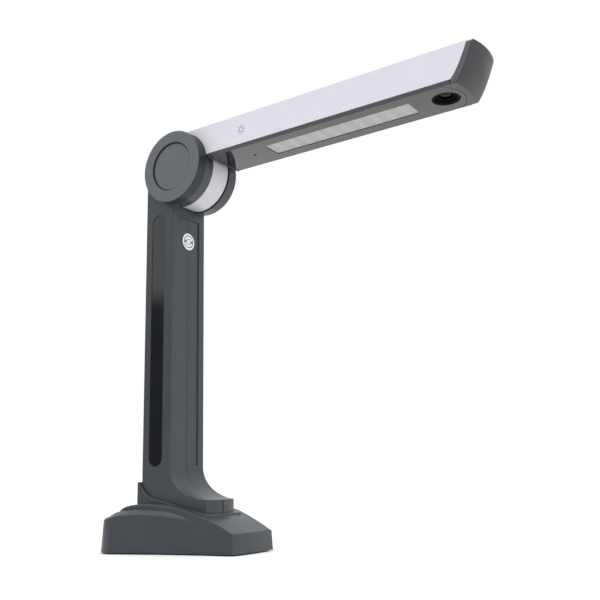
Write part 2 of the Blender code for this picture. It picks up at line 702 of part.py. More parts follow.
def hinge_drum(finishes, arm):
    """The white knuckle between the ears, with a tongue that reaches into the arm."""
    rim = DRUM_RADIUS - 2.4
    drum = turned("drum", [(DRUM_BORE, 9.0), (8.0, 9.0), (8.0, 2.0), (rim, 2.0), (rim, DRUM_HALF),
                           (DRUM_RADIUS - 0.4, DRUM_HALF), (DRUM_RADIUS, DRUM_HALF - 0.4),
                           (DRUM_RADIUS, 0.4 - DRUM_HALF), (DRUM_RADIUS - 0.4, -DRUM_HALF),
                           (rim, -DRUM_HALF), (rim, -2.0), (8.0, -2.0), (8.0, -9.0), (DRUM_BORE, -9.0)],
                  True, steps=48)
    join(drum, box("tongue", (-8.9, -60.0, 7.0), (8.9, -25.0, 23.6)))
    for i, y in enumerate(RAIL_SCREWS):
        cut(drum, cylinder(f"tongue_hole_{i}", "Z", (0.0, y), 1.7, 12.0, 30.0, 10))
    make_part(drum, "hinge_drum", finishes["white_plastic"], arm)


# Arm

RAIL_SCREWS = (-42.0, -54.0)
BOARD_SCREWS = (-10.0, 10.0)


def cover_end(z):
    """Where the white cover stops at the tip, at height z: it leans forward towards the top."""
    share = max((z - COVER_BOTTOM) / (ARM_TOP - COVER_BOTTOM), 0.0)
    return -241.6 - 13.5 * share ** 0.75


def nose_front(z):
    """The tip's front at height z, at its sides."""
    share = max((z - ARM_BOTTOM) / (ARM_TOP - ARM_BOTTOM), 0.0)
    return -244.4 - 14.8 * share ** 0.65


def arm_cover(finishes, arm):
    start = math.degrees(math.atan2(COVER_BOTTOM, -math.sqrt(ARM_REAR_RADIUS ** 2 - COVER_BOTTOM ** 2)))
    rear = arc((0.0, 0.0), ARM_REAR_RADIUS, start, 101.5, 14)
    steps = 10
    heights = [COVER_BOTTOM + (ARM_TOP - COVER_BOTTOM) * (i / steps) ** 1.5 for i in range(steps + 1)]
    tip = [(cover_end(z), z) for z in heights]
    outline = tip + [(rear[-1][0], ARM_TOP)] + list(reversed(rear))
    cover = prism("cover", outline, "YZ", -BODY_HALF, BODY_HALF)
    bevel(cover, 1.6, 4, 60.0)
    inner = BODY_HALF - COVER_WALL
    cut(cover, box("cover_inside", (-inner, -280.0, -5.0), (inner, 10.0, ARM_TOP - COVER_WALL)))
    smooth(make_part(cover, "arm_cover", finishes["white_plastic"], arm))


def arm_tray(finishes, arm):
    tray = box("tray", (-BODY_HALF, TRAY_END, ARM_BOTTOM), (BODY_HALF, LIP_REAR, STRIP_TOP))
    bevel(tray, 0.5, 2)
    join(tray, box("tray_lip", (-BODY_HALF + 0.3, LIP_FRONT, 2.5), (BODY_HALF - 0.3, LIP_REAR - 0.2, 4.0)))
    for side in (-1, 1):
        low, high = sorted((side * 15.9, side * 17.4))
        join(tray, box(f"tray_rib_{side}", (low, -236.0, 5.0), (high, -34.0, 9.4)))
    cut(tray, box("tray_pocket", (-PANEL_HALF - 0.2, -260.0, 1.0), (PANEL_HALF + 0.2, LIP_FRONT, PANEL_TOP + GAP)))
    cut(tray, box("tray_window", (-10.4, WINDOW_FRONT - 1.4, 1.0), (10.4, WINDOW_REAR + 1.4, 8.0)))
    cut(tray, cylinder("tray_lens", "Z", (0.0, LENS_Y), LENS_HOLE + 0.4, 1.0, 8.0, 28))
    cut(tray, cylinder("tray_mic", "Z", (0.0, MIC_Y), 1.2, 1.0, 8.0, 10))
    make_part(tray, "arm_tray", finishes["dark_plastic"], arm)


def panel_end(inset):
    """The round end of the underside panel, from one edge to the other around the lens."""
    half = PANEL_HALF
    spread = math.degrees(math.asin(half / PANEL_END_RADIUS))
    centre = (0.0, PANEL_END + PANEL_END_RADIUS)
    return arc(centre, PANEL_END_RADIUS + inset, 270.0 - spread, 270.0 + spread, 16)


def underside(finishes, arm):
    outline = panel_end(0.0) + [(PANEL_HALF, LIP_FRONT - GAP), (-PANEL_HALF, LIP_FRONT - GAP)]
    panel = prism("panel", outline, "XY", ARM_BOTTOM, PANEL_TOP)
    cut(panel, box("panel_window", (-WINDOW_HALF, WINDOW_FRONT, 1.0), (WINDOW_HALF, WINDOW_REAR, 8.0)))
    cut(panel, cylinder("panel_lens", "Z", (0.0, LENS_Y), LENS_HOLE, 1.0, 8.0, 48))
    cut(panel, cylinder("panel_mic", "Z", (0.0, MIC_Y), 0.9, 1.0, 8.0, 12))
    make_part(panel, "underside_panel", finishes["gloss_black"], arm)
    half = WINDOW_HALF - GAP
    section = [(-half, 3.4), (half, 3.4), (half, 6.2), (11.6, 6.2), (11.6, 7.2), (-11.6, 7.2), (-11.6, 6.2),
               (-half, 6.2)]
    diffuser = prism("diffuser", section, "XZ", WINDOW_FRONT + GAP, WINDOW_REAR - GAP)
    make_part(diffuser, "led_diffuser", finishes["frosted"], arm)


def end_cap(finishes, arm):
    """The dark nose. Its front bulges a little in plan and leans forward towards its top."""
    def section(x, inset):
        bulge = TIP_BOW * (1 - (x / BODY_HALF) ** 2)
        low, high = ARM_BOTTOM + inset, ARM_TOP - inset
        steps = 8
        heights = [low + (high - low) * i / steps for i in range(steps + 1)]
        front = [(x, nose_front(z) - bulge + inset * 1.1, z) for z in heights]
        back = [(x, cover_end(z) - GAP + inset * 6, z) for z in reversed(heights)]
        return front + back

    def nose(name, half, inset):
        steps = 8
        return loft(name, [section(-half + 2 * half * i / steps, inset) for i in range(steps + 1)])

    cap = nose("nose", BODY_HALF, 0.0)
    bevel(cap, 0.9, 2, 50.0)
    plug_half = BODY_HALF - COVER_WALL - GAP
    plug_outline = [(-247.0, 11.0), (-238.0, 11.0), (-238.0, 28.3), (-252.0, 28.3)]
    join(cap, prism("plug", plug_outline, "YZ", -plug_half, plug_half))
    join(cap, box("cap_tongue", (-PANEL_HALF, -246.0, ARM_BOTTOM), (PANEL_HALF, TONGUE_REAR, PANEL_TOP)))
    half = PANEL_HALF + GAP
    room = panel_end(GAP) + [(half, -225.0), (-half, -225.0)]
    cut(cap, prism("panel_room", room, "XY", 1.0, PANEL_TOP + GAP))
    cut(cap, nose("nose_hollow", BODY_HALF - 2.4, 2.2))
    cut(cap, box("plug_hollow", (-plug_half + 1.6, -246.0, 9.0), (plug_half - 1.6, -230.0, 26.7)))
    smooth(make_part(cap, "end_cap", finishes["dark_plastic"], arm))


def lamp_and_lens(finishes, arm):
    board = box("led_board", (-8.5, -203.0, 10.0), (8.5, -83.0, 11.2))
    count = 10
    for i in range(count):
        y = -89.0 - (203.0 - 83.0 - 12.0) * i / (count - 1)
        join(board, box(f"led_{i}", (-1.5, y - 1.4, 9.2), (1.5, y + 1.4, 10.4)))
    make_part(board, "led_board", finishes["white_board"], arm)
    bezel = turned("bezel", [(6.7, 8.4), (9.6, 8.4), (9.6, 3.3), (9.2, 3.1), (8.8, 3.3), (6.7, 6.4)], True,
                   axis_x=False, place=(0.0, LENS_Y, 0.0), steps=36)
    make_part(bezel, "lens_bezel", finishes["gloss_black"], arm)
    barrel = turned("barrel", [(0.0, 19.4), (6.3, 19.4), (6.3, 5.2), (5.9, 4.8), (5.3, 4.8), (5.3, 8.6),
                               (0.0, 8.6)], False, axis_x=False, place=(0.0, LENS_Y, 0.0), steps=28)
    make_part(barrel, "lens_barrel", finishes["black_plastic"], arm)
    glass = turned("glass", [(0.0, 8.3), (5.0, 8.3), (5.0, 7.2), (3.6, 6.2), (2.0, 5.7), (0.0, 5.5)], False,
                   axis_x=False, place=(0.0, LENS_Y, 0.0), steps=24)
    make_part(glass, "lens_glass", finishes["glass"], arm)
    camera = box("camera_board", (-14.0, -237.5, 19.8), (14.0, -213.0, 21.4))
    rail = box("rail", (-13.0, -237.5, 23.9), (13.0, -36.0, 25.4))
    for i, x in enumerate(BOARD_SCREWS):
        y = -217.0
        cut(camera, cylinder(f"camera_hole_{i}", "Z", (x, y), 1.4, 18.0, 23.0, 10))
        cut(rail, cylinder(f"rail_board_hole_{i}", "Z", (x, y), 1.4, 22.0, 28.0, 10))
        screw = cylinder(f"board_screw_{i + 1}", "Z", (x, y), 1.1, 19.0, 26.0, 10)
        join(screw, cylinder(f"board_screw_head_{i}", "Z", (x, y), 2.2, 18.0, 19.5, 12))
        make_part(screw, f"board_screw_{i + 1}", finishes["steel"], arm)
    for i, y in enumerate(RAIL_SCREWS):
        cut(rail, cylinder(f"rail_hole_{i}", "Z", (0.0, y), 1.7, 22.0, 28.0, 10))
        screw = cylinder(f"rail_screw_{i + 1}", "Z", (0.0, y), 1.4, 14.0, 26.5, 10)
        join(screw, cylinder(f"rail_screw_head_{i}", "Z", (0.0, y), 2.8, 25.7, 27.4, 12))
        make_part(screw, f"rail_screw_{i + 1}", finishes["steel"], arm)
    make_part(camera, "camera_board", finishes["green_board"], arm)
    make_part(rail, "arm_rail", finishes["aluminium"], arm)
    ribbon = box("ribbon", (9.4, -211.0, 14.0), (15.4, -40.0, 14.5))
    make_part(ribbon, "camera_ribbon", finishes["nylon"], arm)
    mic = cylinder("mic", "Z", (0.0, MIC_Y), 3.0, 6.2, 9.0, 16)
    make_part(mic, "microphone", finishes["steel"], arm)
    pad = box("touch", (-17.5, -71.5, 11.0), (-16.3, -60.5, 22.0))
    make_part(pad, "touch_sensor", finishes["green_board"], arm)


def main():
    clear_scene()
    finishes = {
        "dark_plastic": material("dark_plastic", (0.085, 0.095, 0.105), 0.45),
        "black_plastic": material("black_plastic", (0.02, 0.02, 0.022), 0.5),
        "gloss_black": material("gloss_black", (0.015, 0.015, 0.017), 0.08),
        "white_plastic": material("white_plastic", (0.80, 0.80, 0.84), 0.25),
        "frosted": material("frosted", (0.62, 0.62, 0.60), 0.5),
        "glass": material("glass", (0.05, 0.05, 0.07), 0.02),
        "rubber": material("rubber", (0.03, 0.03, 0.03), 0.8),
        "label": material("label", (0.85, 0.86, 0.88), 0.4),
        "steel": material("steel", (0.55, 0.55, 0.56), 0.35, 1.0),
        "nickel": material("nickel", (0.70, 0.69, 0.66), 0.25, 1.0),
        "aluminium": material("aluminium", (0.75, 0.75, 0.77), 0.35, 1.0),
        "nylon": material("nylon", (0.75, 0.73, 0.68), 0.5),
        "green_board": material("green_board", (0.03, 0.18, 0.08), 0.4),
        "white_board": material("white_board", (0.75, 0.75, 0.72), 0.4),
    }
    stand = empty("stand_origin", 0.0)
    hinge = empty("hinge_centre", AXIS_HEIGHT)
    arm = empty("arm_pivot", AXIS_HEIGHT)
    base_shell(finishes["dark_plastic"], stand)
    base_inside(finishes, stand)
    column_shell(-1, "column_shell_left", finishes["dark_plastic"], stand)
    column_shell(1, "column_shell_right", finishes["dark_plastic"], stand)
    column_trim(finishes, stand)
    spine(finishes, stand)
    hinge_fixed(finishes, hinge)
    hinge_drum(finishes, arm)
    arm_cover(finishes, arm)
    arm_tray(finishes, arm)
    underside(finishes, arm)
    end_cap(finishes, arm)
    lamp_and_lens(finishes, arm)
    bpy.context.view_layer.update()


main()
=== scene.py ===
"""The looks of a folding document camera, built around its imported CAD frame.

The frame is +Z up, X across the object and -Y the way the open arm points. Lengths in the builders are in
millimetres, and MM turns them into metres. Arm heights are measured from the hinge axis.
"""

import math

import bmesh
import bpy
from mathutils import Matrix, Vector


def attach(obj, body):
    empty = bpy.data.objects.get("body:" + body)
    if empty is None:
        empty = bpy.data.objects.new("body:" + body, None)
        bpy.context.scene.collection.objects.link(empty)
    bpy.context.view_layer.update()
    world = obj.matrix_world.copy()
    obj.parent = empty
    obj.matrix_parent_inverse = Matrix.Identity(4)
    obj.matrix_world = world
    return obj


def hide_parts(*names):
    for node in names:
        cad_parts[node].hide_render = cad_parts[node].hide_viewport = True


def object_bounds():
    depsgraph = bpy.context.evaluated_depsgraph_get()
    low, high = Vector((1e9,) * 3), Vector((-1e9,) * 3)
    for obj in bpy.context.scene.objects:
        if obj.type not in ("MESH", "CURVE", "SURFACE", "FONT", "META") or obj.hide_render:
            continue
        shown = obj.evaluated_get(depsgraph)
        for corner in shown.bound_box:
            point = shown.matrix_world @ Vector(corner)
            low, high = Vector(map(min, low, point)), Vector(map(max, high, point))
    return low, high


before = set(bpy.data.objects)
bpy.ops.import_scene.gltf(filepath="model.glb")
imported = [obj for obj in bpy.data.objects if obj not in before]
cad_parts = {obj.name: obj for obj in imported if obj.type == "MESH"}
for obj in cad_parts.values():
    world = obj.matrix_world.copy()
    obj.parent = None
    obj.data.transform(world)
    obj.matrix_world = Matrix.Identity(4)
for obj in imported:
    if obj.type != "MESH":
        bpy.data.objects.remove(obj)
cad_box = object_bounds()

MM = 0.001
STAND = "stand"
ARM = "arm"

# The dimensions that the CAD is driven with. Only the gap around the column's foot is narrower here.
BODY_HALF = 19.6
AXIS = 304.0
EAR_RADIUS = 29.7
EAR_INNER = 10.5
DRUM_RADIUS = 28.8
DRUM_HALF = 9.6
DRUM_CLEARANCE = 30.3
CAP_RADIUS = 30.2
CAP_OUTER = 28.8
CAP_INSET = 19.8
CAP_RECESS = 2.4
FAR_CAP_RADIUS = 28.4
FRONT_Y = 5.5
REAR_Y = 35.3
TOE_Y = -31.0
TOE_CORNER_Y = -28.3
TOE_CORNER_HALF = 16.4
TOE_TAPER_Y = -10.0
TOE_TOP = 38.2
FOOT_BOTTOM = 16.0
FILLET_TOP = 63.2
CHANNEL_HALF = 12.6
CHANNEL_DEPTH = 0.9
CHANNEL_LOW = 64.0
CHANNEL_HIGH = 266.5
INLAY_Y = 21.3
INLAY_HALF = 7.0
INLAY_LOW = 63.4
INLAY_HIGH = 268.4
LABEL_HEIGHT = 247.3
LABEL_RADIUS = 7.1
SKIRT_BOTTOM = 0.8
SHELL_WALL = 2.2
NOSE_Y = -59.3
NOSE_BOW = 1.8
NOSE_HALF = 24.2
NOSE_TOP = 14.6
FLARE_END_Y = 40.0
FLARE_HALF = 47.2
REAR_EDGE_Y = 58.0
CORNER_REACH = 12.0
LEDGE_START_Y = -24.0
LEDGE_WIDTH = 9.5
LEDGE_RISE = 3.6
HUMP_Y = 20.0
HUMP_TOP = 35.9
HUMP_CROWN = 0.6
HUMP_SETBACK = 4.5
LOBE_Y = 18.0
LOBE_TOP = 28.8
DRAFT = 1.2
COLLAR_HALF = 22.0
COLLAR_FRONT = -33.6
COLLAR_CORNER = 5.0
COLLAR_REAR = 37.4
COLLAR_LOW = 27.2
COLLAR_TOP = 52.4
SOCKET_GAP = 0.3
SOCKET_FLOOR = 15.7
ARM_BOTTOM = 3.0
ARM_TOP = 30.4
STRIP_TOP = 5.9
COVER_BOTTOM = 6.2
COVER_WALL = 1.8
ARM_REAR_RADIUS = 30.5
LIP_REAR = -31.2
LIP_FRONT = -33.2
PANEL_HALF = 18.7
PANEL_TOP = 4.1
PANEL_END = -243.0
PANEL_END_RADIUS = 24.6
TRAY_END = -241.3
TIP_BOW = 3.0
WINDOW_HALF = 9.15
WINDOW_REAR = -80.7
WINDOW_FRONT = -205.6
LENS_Y = -230.0
LENS_HOLE = 10.0
MIC_Y = -64.6

# How the base's surfaces fall and rise: by how much, over what length.
HUMP_FALL = 0.9
HUMP_FALL_REACH = 13.0
LOBE_FRONT_FALL = 4.6
LOBE_FRONT_REACH = 41.6
LOBE_REAR_FALL = 3.5
LOBE_REAR_REACH = 32.0
LOBE_END_SLOWING = 0.45   # the lobe falls more slowly behind the flare's end
COLLAR_SLOPE = 0.22
COLLAR_SLOPE_START = -37.0
COLLAR_SWEEP_Y = 22.0
COLLAR_SWEEP_RISE = 8.4
COLLAR_SWEEP_REACH = 14.5
LEDGE_RISE_SHARE = 0.42   # the ledge has its full rise after this share of its length
LEDGE_FADE_REACH = 15.0   # and loses it over this length before the rear edge
BOW_REACH = 14.0

# The hinge's covers and the drum.
CAP_EDGE = 1.1
CAP_LIP = 1.0
CAP_WALL = 2.4
CAP_FACE = 3.6
INSET_EDGE = 0.5
FAR_CAP_DEPTH = 1.5
FAR_CAP_EDGE = 0.8
DRUM_BORE = 4.1
DRUM_HUB = 8.0
DRUM_HUB_HALF = 9.0
DRUM_WEB_HALF = 2.0
DRUM_WALL = 2.4
DRUM_EDGE = 0.5
TONGUE_HALF = 8.9
HINGE_ACCESS = 11.0       # the hole in each ear behind its cover

# The arm's ends, and what is inside the arm.
COVER_END_Y = -241.6
COVER_END_LEAN = 13.5
TIP_Y = -244.4
TIP_LEAN = 14.8
TIP_WALL = 2.2
TIP_ROOM_HALF = 17.2
PLUG_GAP = 0.3
PLUG_WALL = 1.6
RIB_INNER = 15.9
RIB_OUTER = 17.4
WINDOW_GAP = 0.3
LAMP_FLANGE_HALF = 11.6
MIC_HOLE = 1.25
MIC_WAY = 1.6
GLASS_RADIUS = 5.0
GLASS_BULGE = 1.7

# Dimensions that only the looks need.
CAP_GAP = 0.3             # between a hinge cover and its ear
SEAM_HALF = 0.16
SEAM_GROOVE_HALF = 0.42
PRINT_OUT = 0.03          # how far a print stands out of its face, and how far it reaches in
PRINT_IN = -0.02
LABEL_EDGE = 0.25
LAMP_SIGN_Y = -65.6
LAMP_SIGN_HEIGHT = 17.6   # above the hinge axis
ARM_EDGE = 2.0            # the rounding of the arm's long edges
RIM = 1.0                 # the rounding of the collar's rim
PORT_HALF = 4.6
PORT_LOW = 5.6
PORT_HIGH = 10.8

# Where the camera stands and the light comes from. Places in metres, angles in degrees.
BEHIND = (0.83, 0.55)
LEFT = (-0.83, 0.55)
FRONT = (-0.15, -0.98)
CAMERA_PLACE = (-0.486788, -0.431348, 0.056131)
CAMERA_YAW = 55.938
CAMERA_PITCH = 12.083
CAMERA_ROLL = -1.191
CAMERA_LENS = 48.3907
CAMERA_SHIFT = (0.00484, 0.001636)
SUN_DIRECTION = (0.25, 0.2, -1.0)
SUN_ENERGY = 1.25
SUN_SPREAD = 70.0

SMOOTH_ANGLE = 32.0
TOOLS = []  # shapes that only cut or join, removed once a piece is finished


# Mesh helpers

def add_object(name, mesh):
    made = bpy.data.objects.new(name, mesh)
    bpy.context.scene.collection.objects.link(made)
    TOOLS.append(made)
    return made


def from_bmesh(name, builder):
    bmesh.ops.remove_doubles(builder, verts=builder.verts, dist=1e-6)
    bmesh.ops.recalc_face_normals(builder, faces=builder.faces)
    mesh = bpy.data.meshes.new(name)
    builder.to_mesh(mesh)
    builder.free()
    return add_object(name, mesh)


def box(name, low, high):
    builder = bmesh.new()
    bmesh.ops.create_cube(builder, size=1.0)
    bmesh.ops.scale(builder, vec=[(h - l) * MM for l, h in zip(low, high)], verts=builder.verts)
    bmesh.ops.translate(builder, vec=[(h + l) * MM / 2 for l, h in zip(low, high)], verts=builder.verts)
    return from_bmesh(name, builder)


def prism(name, outline, plane, low, high):
    """A flat outline extruded across its plane. The planes are YZ, XY and XZ."""
    places = {
        "YZ": lambda u, v, w: (w, u, v),
        "XY": lambda u, v, w: (u, v, w),
        "XZ": lambda u, v, w: (u, w, v),
    }
    place = places[plane]
    builder = bmesh.new()
    first = [builder.verts.new(Vector(place(u, v, low)) * MM) for u, v in outline]
    last = [builder.verts.new(Vector(place(u, v, high)) * MM) for u, v in outline]
    builder.faces.new(first)
    builder.faces.new(last)
    count = len(outline)
    for i in range(count):
        j = (i + 1) % count
        builder.faces.new((first[i], first[j], last[j], last[i]))
    return from_bmesh(name, builder)


def cylinder(name, axis, centre, radius, low, high, segments=64):
    """A cylinder along X, Y or Z. The centre gives its place on the other two axes, in X, Y, Z order."""
    ring = [(centre[0] + radius * math.cos(2 * math.pi * i / segments),
             centre[1] + radius * math.sin(2 * math.pi * i / segments)) for i in range(segments)]
    return prism(name, ring, {"X": "YZ", "Y": "XZ", "Z": "XY"}[axis], low, high)


def turned(name, profile, axis, place, steps=96):
    """A turned solid from (radius, distance) points.

    The profile is a closed loop, or it ends on the axis.
    """
    builder = bmesh.new()
    closed = profile[0][0] > 0 or profile[-1][0] > 0
    rings = []
    for radius, distance in profile:
        if radius == 0:
            rings.append([builder.verts.new((0.0, 0.0, distance * MM))])
        else:
            ring = []
            for i in range(steps):
                angle = 2 * math.pi * i / steps
                ring.append(builder.verts.new(
                    (radius * math.cos(angle) * MM, radius * math.sin(angle) * MM, distance * MM)))
            rings.append(ring)
    pairs = list(zip(rings, rings[1:]))
    if closed:
        pairs.append((rings[-1], rings[0]))
    for a, b in pairs:
        for i in range(steps):
            j = (i + 1) % steps
            if len(a) == 1 and len(b) > 1:
                builder.faces.new((a[0], b[i], b[j]))
            elif len(b) == 1 and len(a) > 1:
                builder.faces.new((a[i], a[j], b[0]))
            elif len(a) > 1:
                builder.faces.new((a[i], a[j], b[j], b[i]))
    turns = {
        "X": Matrix.Rotation(math.pi / 2, 4, "Y"),
        "-X": Matrix.Rotation(-math.pi / 2, 4, "Y"),
        "Z": Matrix.Identity(4),
        "-Y": Matrix.Rotation(math.pi / 2, 4, "X"),
    }
    bmesh.ops.transform(builder, matrix=turns[axis], verts=builder.verts)
    bmesh.ops.translate(builder, vec=Vector(place) * MM, verts=builder.verts)
    return from_bmesh(name, builder)


def arc(centre, radius, start, end, steps):
    """Points on an arc, both ends among them, with angles in degrees from the first axis."""
    points = []
    for i in range(steps + 1):
        angle = math.radians(start + (end - start) * i / steps)
        points.append((centre[0] + radius * math.cos(angle), centre[1] + radius * math.sin(angle)))
    return points


def stadium(centre, half_width, low, high, steps=24):
    top = arc((centre, high - half_width), half_width, 0, 180, steps)
    bottom = arc((centre, low + half_width), half_width, 180, 360, steps)
    return top + bottom


def rounded(points, radii, steps=5):
    """A polygon with its corners rounded. A radius of 0 leaves a corner sharp."""
    result = []
    count = len(points)
    for i, (point, radius) in enumerate(zip(points, radii)):
        if radius == 0:
            result.append(point)
            continue
        here = Vector(point)
        before = Vector(points[i - 1]) - here
        after = Vector(points[(i + 1) % count]) - here
        reach = min(radius, before.length * 0.48, after.length * 0.48)
        start = here + before.normalized() * reach
        end = here + after.normalized() * reach
        for k in range(steps + 1):
            t = k / steps
            mixed = start * (1 - t) ** 2 + here * 2 * t * (1 - t) + end * t ** 2
            result.append((mixed.x, mixed.y))
    return result


def boolean(obj, operation, other):
    made = obj.modifiers.new(operation.lower(), "BOOLEAN")
    made.operation = operation
    made.object = other
    made.solver = "EXACT"


def cut(obj, *others):
    for other in others:
        boolean(obj, "DIFFERENCE", other)
    return obj


def join(obj, *others):
    for other in others:
        boolean(obj, "UNION", other)
    return obj


def bevel(obj, width, segments=3, angle=35.0):
    made = obj.modifiers.new("edges", "BEVEL")
    made.width = width * MM
    made.segments = segments
    made.limit_method = "ANGLE"
    made.angle_limit = math.radians(angle)
    made.miter_outer = "MITER_ARC"
    return obj


def bake(obj):
    """Applies an object's modifiers."""
    bpy.context.view_layer.update()
    depsgraph = bpy.context.evaluated_depsgraph_get()
    mesh = bpy.data.meshes.new_from_object(obj.evaluated_get(depsgraph))
    obj.modifiers.clear()
    obj.data = mesh
    return obj


def piece(obj, name, material, body, replaced=(), soften=0.0):
    """Finishes a shape as a visible piece that rides on a body and stands for CAD nodes."""
    bake(obj)
    if soften:
        bevel(obj, soften, 2, 50.0)
        bake(obj)
    builder = bmesh.new()
    builder.from_mesh(obj.data)
    bmesh.ops.remove_doubles(builder, verts=builder.verts, dist=2e-6)
    bmesh.ops.dissolve_degenerate(builder, edges=builder.edges, dist=2e-6)
    builder.to_mesh(obj.data)
    builder.free()
    obj.data.shade_smooth()
    obj.data.set_sharp_from_angle(angle=math.radians(SMOOTH_ANGLE))
    weighted = obj.modifiers.new("normals", "WEIGHTED_NORMAL")
    weighted.keep_sharp = True
    weighted.weight = 60
    bake(obj)
    obj.name = name
    obj.data.name = name
    obj.data.materials.clear()
    obj.data.materials.append(material)
    if obj in TOOLS:
        TOOLS.remove(obj)
    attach(obj, body)
    if replaced:
        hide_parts(*replaced)
    return obj


def clear_tools():
    for obj in list(TOOLS):
        bpy.data.objects.remove(obj, do_unlink=True)
    TOOLS.clear()


# Materials

def new_material(name):
    made = bpy.data.materials.new(name)
    made.use_nodes = True
    return made, made.node_tree.nodes, made.node_tree.links, made.node_tree.nodes["Principled BSDF"]


def noise(nodes, links, source, scale, detail=3.0, roughness=0.55):
    made = nodes.new("ShaderNodeTexNoise")
    made.inputs["Scale"].default_value = scale
    made.inputs["Detail"].default_value = detail
    made.inputs["Roughness"].default_value = roughness
    links.new(source, made.inputs["Vector"])
    return made.outputs["Fac"]


def remap(nodes, links, value, low, high, from_low=0.25, from_high=0.75):
    made = nodes.new("ShaderNodeMapRange")
    made.inputs["From Min"].default_value = from_low
    made.inputs["From Max"].default_value = from_high
    made.inputs["To Min"].default_value = low
    made.inputs["To Max"].default_value = high
    links.new(value, made.inputs["Value"])
    return made.outputs["Result"]


def mix_colour(nodes, links, factor, first, second):
    made = nodes.new("ShaderNodeMix")
    made.data_type = "RGBA"
    links.new(factor, made.inputs["Factor"])
    for socket, colour in ((made.inputs[6], first), (made.inputs[7], second)):
        if isinstance(colour, tuple):
            socket.default_value = (*colour, 1.0)
        else:
            links.new(colour, socket)
    return made.outputs[2]


def plastic(name, colour, roughness, grain=0.12, grain_scale=2600.0, spread=0.06, rough_spread=0.06,
            specular=0.5, metallic=0.0, tone_and_highlight_colour=None):
    """Moulded plastic or metal: soft mottling, a fine surface grain and uneven gloss.

    Where a second colour is given, the faces that look along X are painted with it: a lighter colour,
    partly a painted highlight for the light those faces catch.
    """
    made, nodes, links, shader = new_material(name)
    place = nodes.new("ShaderNodeTexCoord").outputs["Object"]
    broad = noise(nodes, links, place, 38.0, 4.0)
    fine = noise(nodes, links, place, grain_scale, 2.0, 0.6)
    smudge = noise(nodes, links, place, 95.0, 5.0, 0.62)
    dark = tuple(c * (1 - spread) for c in colour)
    light = tuple(min(c * (1 + spread), 1.0) for c in colour)
    base = mix_colour(nodes, links, remap(nodes, links, broad, 0.0, 1.0), dark, light)
    if tone_and_highlight_colour:
        # Painted highlight: the faces that look along X take the lighter colour, which stands for the light
        # they catch.
        split = nodes.new("ShaderNodeSeparateXYZ")
        links.new(nodes.new("ShaderNodeTexCoord").outputs["Normal"], split.inputs[0])
        across = nodes.new("ShaderNodeMath")
        across.operation = "ABSOLUTE"
        links.new(split.outputs["X"], across.inputs[0])
        base = mix_colour(nodes, links, remap(nodes, links, across.outputs[0], 0.0, 1.0, 0.55, 0.95), base,
                          tone_and_highlight_colour)
    links.new(base, shader.inputs["Base Color"])
    links.new(remap(nodes, links, smudge, max(roughness - rough_spread, 0.02), roughness + rough_spread),
              shader.inputs["Roughness"])
    bump = nodes.new("ShaderNodeBump")
    bump.inputs["Strength"].default_value = grain
    bump.inputs["Distance"].default_value = 0.00005
    links.new(fine, bump.inputs["Height"])
    links.new(bump.outputs["Normal"], shader.inputs["Normal"])
    shader.inputs["Specular IOR Level"].default_value = specular
    shader.inputs["Metallic"].default_value = metallic
    return made


slate = plastic("slate_plastic", (0.032, 0.040, 0.048), 0.36, 0.22)
# The hinge disc's flat face, which looks along X, is painted much lighter than its rim: partly the face's
# own lighter finish, partly a painted highlight for the light the face catches.
disc_grey = plastic("hinge_disc_plastic", (0.018, 0.021, 0.025), 0.36, 0.16, specular=0.3,
                    tone_and_highlight_colour=(0.103, 0.114, 0.124))
# The nose's sides, which look along X, are painted lighter than its front: a painted highlight.
tip_grey = plastic("tip_plastic", (0.019, 0.020, 0.024), 0.34, 0.18, tone_and_highlight_colour=(0.070, 0.073, 0.080))
strip_grey = plastic("strip_plastic", (0.040, 0.045, 0.050), 0.28, 0.14)
white = plastic("white_plastic", (0.635, 0.635, 0.70), 0.22, 0.05, spread=0.012, rough_spread=0.04)
drum_white = plastic("drum_plastic", (0.52, 0.52, 0.56), 0.34, 0.10, spread=0.02)
gloss = plastic("gloss_black_plastic", (0.012, 0.012, 0.013), 0.05, 0.015, spread=0.1, rough_spread=0.015)
black = plastic("black_plastic", (0.020, 0.020, 0.022), 0.48, 0.2)
lens_black = plastic("lens_black", (0.0040, 0.0036, 0.0044), 0.45, 0.1, specular=0.05)
rubber = plastic("rubber", (0.028, 0.028, 0.028), 0.78, 0.6, 1400.0)
steel = plastic("zinc_steel", (0.56, 0.56, 0.58), 0.34, 0.10, 900.0, metallic=1.0)
nickel = plastic("nickel_plate", (0.70, 0.69, 0.66), 0.24, 0.08, 900.0, metallic=1.0)
aluminium = plastic("aluminium", (0.74, 0.74, 0.76), 0.36, 0.20, 700.0, metallic=1.0)
nylon = plastic("natural_nylon", (0.70, 0.68, 0.62), 0.48, 0.10)
board_green = plastic("green_board", (0.025, 0.14, 0.06), 0.38, 0.12, 1800.0, spread=0.16)
board_white = plastic("white_board", (0.72, 0.72, 0.70), 0.40, 0.10)
label_white = plastic("label_white", (0.78, 0.79, 0.81), 0.38, 0.06, spread=0.02)
print_grey = plastic("print_grey", (0.20, 0.19, 0.24), 0.45, 0.05)
print_dark = plastic("print_dark", (0.05, 0.06, 0.08), 0.45, 0.05)


